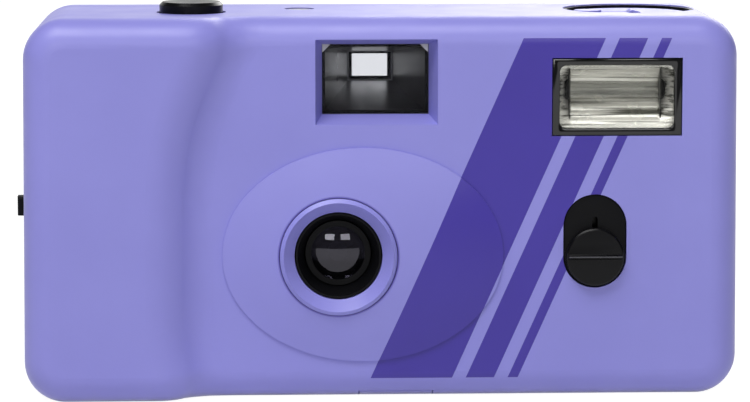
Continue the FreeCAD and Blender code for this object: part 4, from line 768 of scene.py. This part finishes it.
class BuildSwitchKnob(bpy.types.Operator):
    """Builds the flash switch's round knob with its thumb ridge and marks, and its capsule plate."""

    bl_idname = "compact_camera.build_switch_knob"
    bl_label = "Build switch knob"

    def execute(self, context):
        radius = 4.6 * MM
        x, face, z = (knob_low.x + knob_high.x) / 2, knob_low.y + 0.5 * MM, knob_low.z + radius
        self.knob(x, face, z, radius)
        self.thumb_ridge(x, face, z, radius - 0.35 * MM)
        self.plate(x)
        self.arrow(x, face, z + 2.55 * MM)
        self.bolt(x, face, z - 2.25 * MM)
        return {"FINISHED"}

    def knob(self, x, face, z, radius):
        """A disc with a raised band across its middle, on a stem in the slot with a flange behind."""
        back = FRONT_Y + 0.15 * MM
        rim, dome = 0.3 * MM, 0.22 * MM
        band, band_rise, band_taper = 0.42 * MM, 0.5 * MM, 0.3
        stem_half, stem_reach, root = SLOT_HALF * 0.9, 1.1 * MM, 0.2 * MM
        flange_half, flange_thick = 2.2 * MM, 0.8 * MM
        flange_foot, flange_top = z - 1.8 * MM, z + 6.4 * MM
        knob = start("cylinder", "switch_knob", vertices=96, radius=radius, depth=back - face,
                     location=(x, (face + back) / 2, z), rotation=UPRIGHT)
        pick(knob, "FACE", lambda middle, normal: normal.y < -0.9)
        bpy.ops.mesh.inset(thickness=rim)
        move(y=-dome)
        for height in (-band, band):
            bpy.ops.mesh.select_all(action="SELECT")
            bpy.ops.mesh.bisect(plane_co=(x, face, z + height), plane_no=(0, 0, 1))
        pick(knob, "FACE", lambda middle, normal: normal.y < -0.9 and abs(middle.z - z) < band * 0.5)
        extrude(y=-band_rise)
        bpy.ops.transform.resize(value=(1, 1, band_taper), center_override=(x, face, z))
        soften(knob, 0.12, 3, 28)
        carve(knob, solid_box("stem", (x - stem_half, back - root, z - stem_reach),
                              (x + stem_half, knob_high.y, z + stem_reach)), "UNION")
        carve(knob, solid_box("flange", (x - flange_half, knob_high.y - flange_thick, flange_foot),
                              (x + flange_half, knob_high.y, flange_top)), "UNION")
        smooth(knob, 35)
        fit(knob, "flash_switch_group", "black_gloss", "polished_black_abs", "flash_switch")

    def thumb_ridge(self, x, face, z, half):
        """A grey line on top of the raised band: a painted highlight."""
        front, back = face - 0.76 * MM, face - 0.1 * MM
        foot, top = z + 0.02 * MM, z + 0.2 * MM
        ridge = solid_box("thumb_ridge", (x - half, front, foot), (x + half, back, top))
        soften(ridge, 0.06)
        # painted highlight: the grey colour stands in for light along the ridge
        fit(ridge, "flash_switch_group", "black_gloss", "painted_highlight_grey_abs")

    def plate(self, x):
        """The capsule plate that the knob slides on, with its narrow slot and a flange behind the housing."""
        rim = 0.9 * MM
        wall = FRONT_Y + 1.9 * MM
        radius = (base_high.x - base_low.x) / 2
        ends = base_low.z + radius, base_high.z - radius
        slot_ends = SLOT_LOW + SLOT_HALF, SLOT_HIGH - SLOT_HALF
        plate = capsule("switch_plate", x, ends, radius - rim, base_low.y, base_high.y - 0.1 * MM)
        soften(plate, 0.16, 3, 50)
        carve(plate, capsule("flange", x, ends, radius, wall, base_high.y), "UNION")
        carve(plate, capsule("slot", x, slot_ends, SLOT_HALF, base_low.y - MM, base_high.y + MM))
        smooth(plate, 35)
        fit(plate, "housing", "black_plastic", "grained_black_abs", "switch_base")

    def arrow(self, x, face, z):
        """A raised arrow head on the knob's upper half."""
        size, thick = 0.62 * MM, 0.3 * MM
        arrow = start("cylinder", "switch_arrow", vertices=3, radius=size, depth=thick,
                      location=(x, face + thick / 2, z), rotation=UPRIGHT)
        soften(arrow, 0.05)
        fit(arrow, "flash_switch_group", "black_gloss", "polished_black_abs")

    def bolt(self, x, face, z):
        """A raised bolt on the knob's lower half, of two leaning bars."""
        size = (0.34 * MM, 0.3 * MM, 1.5 * MM)
        aside, above, behind = 0.22 * MM, 0.5 * MM, 0.12 * MM
        bars = [
            start("cube", name, size=1, location=(x + way * aside, face + behind, z + way * above),
                  rotation=(0, math.radians(-22), 0), scale=size)
            for name, way in (("switch_bolt", 1), ("lower_bar", -1))
        ]
        carve(bars[0], bars[1], "UNION")
        soften(bars[0], 0.05, degrees=50)
        fit(bars[0], "flash_switch_group", "black_gloss", "polished_black_abs")


class BuildFinderFrame(bpy.types.Operator):
    """Builds the mask and bright bead before the eyepiece, and the lugs at the front lens's corners."""

    bl_idname = "compact_camera.build_finder_frame"
    bl_label = "Build finder frame"

    def execute(self, context):
        # bare edge of the eyepiece's clear moulding: a thin pale line in the dark tunnel
        moulded("pale_bead_plastic", "#C9C9CE", "#D6D6DA", 0.25, grain_mm=0.5, grain_depth=0.002)
        self.rim("finder_mask", ahead=0.5, thick=0.25, outer=(3.42, 2.27), inner=(2.95, 1.88),
                 material="flat_black_abs")
        self.rim("finder_bead", ahead=2.3, thick=0.15, outer=(3.78, 2.5), inner=(3.54, 2.31),
                 material="pale_bead_plastic")
        self.lugs()
        return {"FINISHED"}

    def rim(self, name, ahead, thick, outer, inner, material):
        """A flat rim ahead of the eyepiece, from its half sizes outside and inside; millimetres."""
        low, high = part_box("finder_eyepiece")
        x, z = (low.x + high.x) / 2, (low.z + high.z) / 2
        front = low.y - ahead * MM

        def pane(name, half, corner, first, last):
            wide, tall = half[0] * MM, half[1] * MM
            return rounded_pane(name, (x - wide, z - tall), (x + wide, z + tall), corner * MM, first, last)

        rim = pane(name, outer, 0.12, front, front + thick * MM)
        carve(rim, pane("hole", inner, 0.1, front - MM, front + MM))
        smooth(rim)
        fit(rim, "housing", "black_plastic", material)

    def lugs(self):
        """Pale three-cornered lugs that hold the front lens at its cut top corners."""
        low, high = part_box("finder_front_lens")
        cut, thick, sunk = 1.3 * MM, 0.6 * MM, 0.2 * MM
        for name, x, way in (("finder_lug_left", low.x, 1), ("finder_lug_right", high.x, -1)):
            middle = Vector((x + way * cut / 2, low.y + sunk, high.z - cut / 2))
            lug = start("plane", name, size=1, location=middle, rotation=UPRIGHT, scale=(cut, cut, 1))
            pick(lug, "VERT", lambda place, normal: (place.x - middle.x) * way > 0 and place.z < middle.z)
            bpy.ops.mesh.delete(type="VERT")
            pick(lug)
            bpy.ops.mesh.edge_face_add()
            extrude(y=thick)
            close_up()
            fit(lug, "housing", "clear_plastic", "pale_bead_plastic")


class BuildFrontGlass(bpy.types.Operator):
    """Grinds the front lens element with its strongly bowed face."""

    bl_idname = "compact_camera.build_front_glass"
    bl_label = "Build front glass"

    def execute(self, context):
        low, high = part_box("lens_front")
        radius = (high.x - low.x) / 2
        bow = 1.05 * MM
        edge = low.y + 0.6 * MM
        ball = (radius ** 2 + bow ** 2) / (2 * bow)
        centre = ((low.x + high.x) / 2, edge - bow + ball, (low.z + high.z) / 2)
        glass = start("uv_sphere", "front_glass", segments=96, ring_count=96, radius=ball, location=centre,
                      rotation=UPRIGHT)
        pick(glass)
        bpy.ops.mesh.bisect(plane_co=(0, edge, 0), plane_no=(0, 1, 0), use_fill=True, clear_outer=True)
        pick(glass, "FACE", lambda middle, normal: normal.y > 0.99)
        extrude(y=high.y - edge)
        smooth(glass, 40)
        fit(glass, "housing", "lens_glass", "coated_lens_glass", "lens_front")
        return {"FINISHED"}


class BuildScrews(bpy.types.Operator):
    """Builds the bottom screws with their cross recess."""

    bl_idname = "compact_camera.build_screws"
    bl_label = "Build screws"

    def execute(self, context):
        radius = 1.9 * MM
        first = self.screw("bottom_screw_1", screw_low.x + radius, screw_high.y - radius, radius)
        self.screw("bottom_screw_2", screw_high.x - radius, screw_low.y + radius, radius)
        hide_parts("body_screws")
        return {"FINISHED"}

    def screw(self, name, x, y, radius):
        """A flat head at the foot, crossed by two cuts, with its shank upward."""
        head, shank = 1.2 * MM, 0.9 * MM
        cut = (2.3 * MM, 0.55 * MM, 1.6 * MM)
        screw = start("cylinder", name, vertices=64, radius=radius, depth=head,
                      location=(x, y, screw_low.z + head / 2))
        pick(screw, "FACE", lambda middle, normal: normal.z > 0.9)
        bpy.ops.mesh.inset(thickness=radius - shank)
        extrude(z=screw_high.z - screw_low.z - head)
        for turn in (0, QUARTER):
            carve(screw, start("cube", "cut", size=1, location=(x, y, screw_low.z), rotation=(0, 0, turn),
                               scale=cut))
        soften(screw, 0.12, degrees=60)
        smooth(screw)
        fit(screw, "housing", "screw_steel", "zinc_plated_steel")
        return screw


class BuildButtonSpring(bpy.types.Operator):
    """Winds the coil spring under the shutter button."""

    bl_idname = "compact_camera.build_button_spring"
    bl_label = "Build button spring"

    def execute(self, context):
        wire = 0.22 * MM
        turns, steps_per_turn = 5, 28
        steps = turns * steps_per_turn
        centre = (spring_low + spring_high) / 2
        radius = (spring_high.x - spring_low.x) / 2 - wire
        coil = start("circle", "button_coil", vertices=10, radius=wire, location=(radius, 0, 0),
                     rotation=UPRIGHT)
        modify(coil, "SCREW", axis="Z", angle=4 * QUARTER * turns, steps=steps, render_steps=steps,
               screw_offset=spring_high.z - spring_low.z - wire * 2)
        pick(coil)
        bpy.ops.mesh.region_to_loop()
        bpy.ops.mesh.edge_face_add()
        close_up()
        hold(coil)
        move(centre.x, centre.y, spring_low.z + wire)
        smooth(coil, 60)
        fit(coil, "housing", "spring_steel", "rolled_spring_steel", "button_spring")
        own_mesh(coil)
        return {"FINISHED"}


class BuildCounterNumbers(bpy.types.Operator):
    """Prints plain numbers round the frame counter's dial."""

    bl_idname = "compact_camera.build_counter_numbers"
    bl_label = "Build counter numbers"

    def execute(self, context):
        # black printing ink: flat, a few hundredths of a millimetre thick
        moulded("counter_ink", "#18181C", "#1E1E22", 0.55, grain_mm=0.3, grain_depth=0.002)
        inset, height, thick = 2.1 * MM, 2 * MM, 0.015 * MM
        centre = (dial_low + dial_high) / 2
        reach = (dial_high.x - dial_low.x) / 2 - inset
        frames = 36
        stride = 4
        made = []
        for number in range(0, frames, stride):
            turn = -4 * QUARTER * number / frames
            place = (centre.x - reach * math.sin(turn), centre.y + reach * math.cos(turn), dial_high.z)
            object_mode()
            bpy.ops.object.text_add(location=place, rotation=(0, 0, turn))
            text = bpy.context.object
            text.data.body = str(number)
            text.data.size = height
            text.data.align_x = "CENTER"
            text.data.align_y = "CENTER"
            text.data.extrude = thick
            bpy.ops.object.convert(target="MESH")
            bpy.ops.object.transform_apply(location=True, rotation=True, scale=True)
            made.append(bpy.context.object)
        numbers = made[0]
        hold(numbers)
        for text in made:
            text.select_set(True)
        bpy.ops.object.join()
        numbers.name = "counter_numbers"
        numbers.data.name = "counter_numbers"
        fit(numbers, "counter_dial_group", "black_plastic", "counter_ink")
        return {"FINISHED"}


class BuildStudio(bpy.types.Operator):
    """Sets up the white floor and backdrop, the soft lamps and the camera."""

    bl_idname = "compact_camera.build_studio"
    bl_label = "Build studio"

    def execute(self, context):
        self.sweep()
        self.lamps()
        self.air()
        self.camera(context.scene.camera_looks)
        context.scene.view_settings.view_transform = "Standard"
        return {"FINISHED"}

    def sweep(self):
        """A white sweep: the camera sees it nearly evenly white, with the object's shadow left in."""
        reach, wall, bend_mm = 2.6, 1.5, 350
        glow_share, glow_strength = 0.76, 1.28
        sweep = start("plane", "studio_sweep", size=2 * reach, location=(0, 0, 0))
        pick(sweep, "EDGE", lambda middle, direction: middle.y > reach * 0.9)
        extrude(z=wall)
        soften(sweep, bend_mm, 12, 40)
        smooth(sweep, 60)
        tree = blank("white_paper_sweep")
        rays = add(tree, "ShaderNodeLightPath")
        seen = calc(tree, "MAXIMUM", rays.outputs["Is Camera Ray"], rays.outputs["Is Transmission Ray"])
        seen = calc(tree, "MAXIMUM", seen, rays.outputs["Is Glossy Ray"])
        fibre = ranged(tree, noise(tree, 2), 0.68, 0.72)
        tone = add(tree, "ShaderNodeCombineColor", None, {"Red": fibre, "Green": fibre, "Blue": fibre})
        paper = add(tree, "ShaderNodeBsdfDiffuse", None, {"Color": tone.outputs[0]})
        glow = add(tree, "ShaderNodeEmission", None, {"Color": (1, 1, 1, 1), "Strength": glow_strength})
        finish_surface(tree, add(tree, "ShaderNodeMixShader", None, {
            0: calc(tree, "MULTIPLY", seen, glow_share), 1: paper.outputs[0], 2: glow.outputs[0]}))
        sweep.data.materials.append(bpy.data.materials["white_paper_sweep"])

    def lamps(self):
        """A large soft box overhead, a small one to each side in front, and one behind."""
        aim = Vector((0, 0, 0.03))
        for name, place, width, height, power in (
            ("soft_box_above", (-0.16, -0.3, 0.72), 0.55, 0.4, 4.8),
            ("soft_box_left", (-0.17, -0.63, 0.27), 0.2, 0.13, 0.62),
            ("soft_box_right", (0.17, -0.63, 0.27), 0.2, 0.13, 0.5),
            ("soft_box_behind", (0.3, 0.75, 0.5), 0.6, 0.5, 4.5),
        ):
            object_mode()
            turn = (aim - Vector(place)).to_track_quat("-Z", "Y").to_euler()
            bpy.ops.object.light_add(type="AREA", location=place, rotation=turn)
            lamp = bpy.context.object
            lamp.name = name
            lamp.data.shape = "RECTANGLE"
            lamp.data.size = width
            lamp.data.size_y = height
            lamp.data.energy = power

    def air(self):
        """A dim even world, dimmer still in reflections, and white to the camera's eye."""
        world = bpy.data.worlds.new("studio_air")
        world.use_nodes = True
        tree = world.node_tree
        tree.nodes.clear()
        rays = add(tree, "ShaderNodeLightPath")
        dim = ranged(tree, rays.outputs["Is Glossy Ray"], 0.13, 0.07, start=0, end=1)
        strength = calc(tree, "MAXIMUM", rays.outputs["Is Camera Ray"], dim)
        background = add(tree, "ShaderNodeBackground", None, {"Color": (1, 1, 1, 1), "Strength": strength})
        add(tree, "ShaderNodeOutputWorld", None, {"Surface": background.outputs[0]})
        bpy.context.scene.world = world

    def camera(self, looks):
        """An eye a little to the left and above, with a long lens."""
        object_mode()
        eye = Vector((-looks.view_side, FRONT_Y - looks.view_distance, looks.view_height))
        aim = Vector((-1.3 * MM, FRONT_Y, 31.9 * MM))
        turn = (aim - eye).to_track_quat("-Z", "Y").to_euler()
        bpy.ops.object.camera_add(location=eye, rotation=turn)
        camera = bpy.context.object
        camera.data.sensor_width = 36
        camera.data.lens = looks.view_lens
        bpy.context.scene.camera = camera


class CameraPanel(bpy.types.Panel):
    """Lists the steps that dress the camera, and the sizes that they use."""

    bl_idname = "VIEW3D_PT_compact_camera"
    bl_label = "Compact camera"
    bl_space_type = "VIEW_3D"
    bl_region_type = "UI"
    bl_category = "Camera"

    def draw(self, context):
        for step in STEPS:
            self.layout.operator(step.bl_idname)
        for name in CameraLooks.__annotations__:
            self.layout.prop(context.scene.camera_looks, name)


STEPS = (
    DressHousing, DressBlackPieces, DressGlass, DressInside, BuildFlash, BuildSwitchKnob, BuildFinderFrame,
    BuildFrontGlass, BuildScrews, BuildButtonSpring, BuildCounterNumbers, BuildStudio,
)
CLASSES = (CameraLooks, *STEPS, CameraPanel)


def register():
    """Makes the steps, the sizes and the panel known to Blender."""
    for each in CLASSES:
        bpy.utils.register_class(each)
    bpy.types.Scene.camera_looks = bpy.props.PointerProperty(type=CameraLooks)


def unregister():
    """Takes them out again."""
    del bpy.types.Scene.camera_looks
    for each in reversed(CLASSES):
        bpy.utils.unregister_class(each)


def main():
    register()
    for step in STEPS:
        area, name = step.bl_idname.split(".")
        getattr(getattr(bpy.ops, area), name)()
    object_mode()


if __name__ == "__main__":
    main()
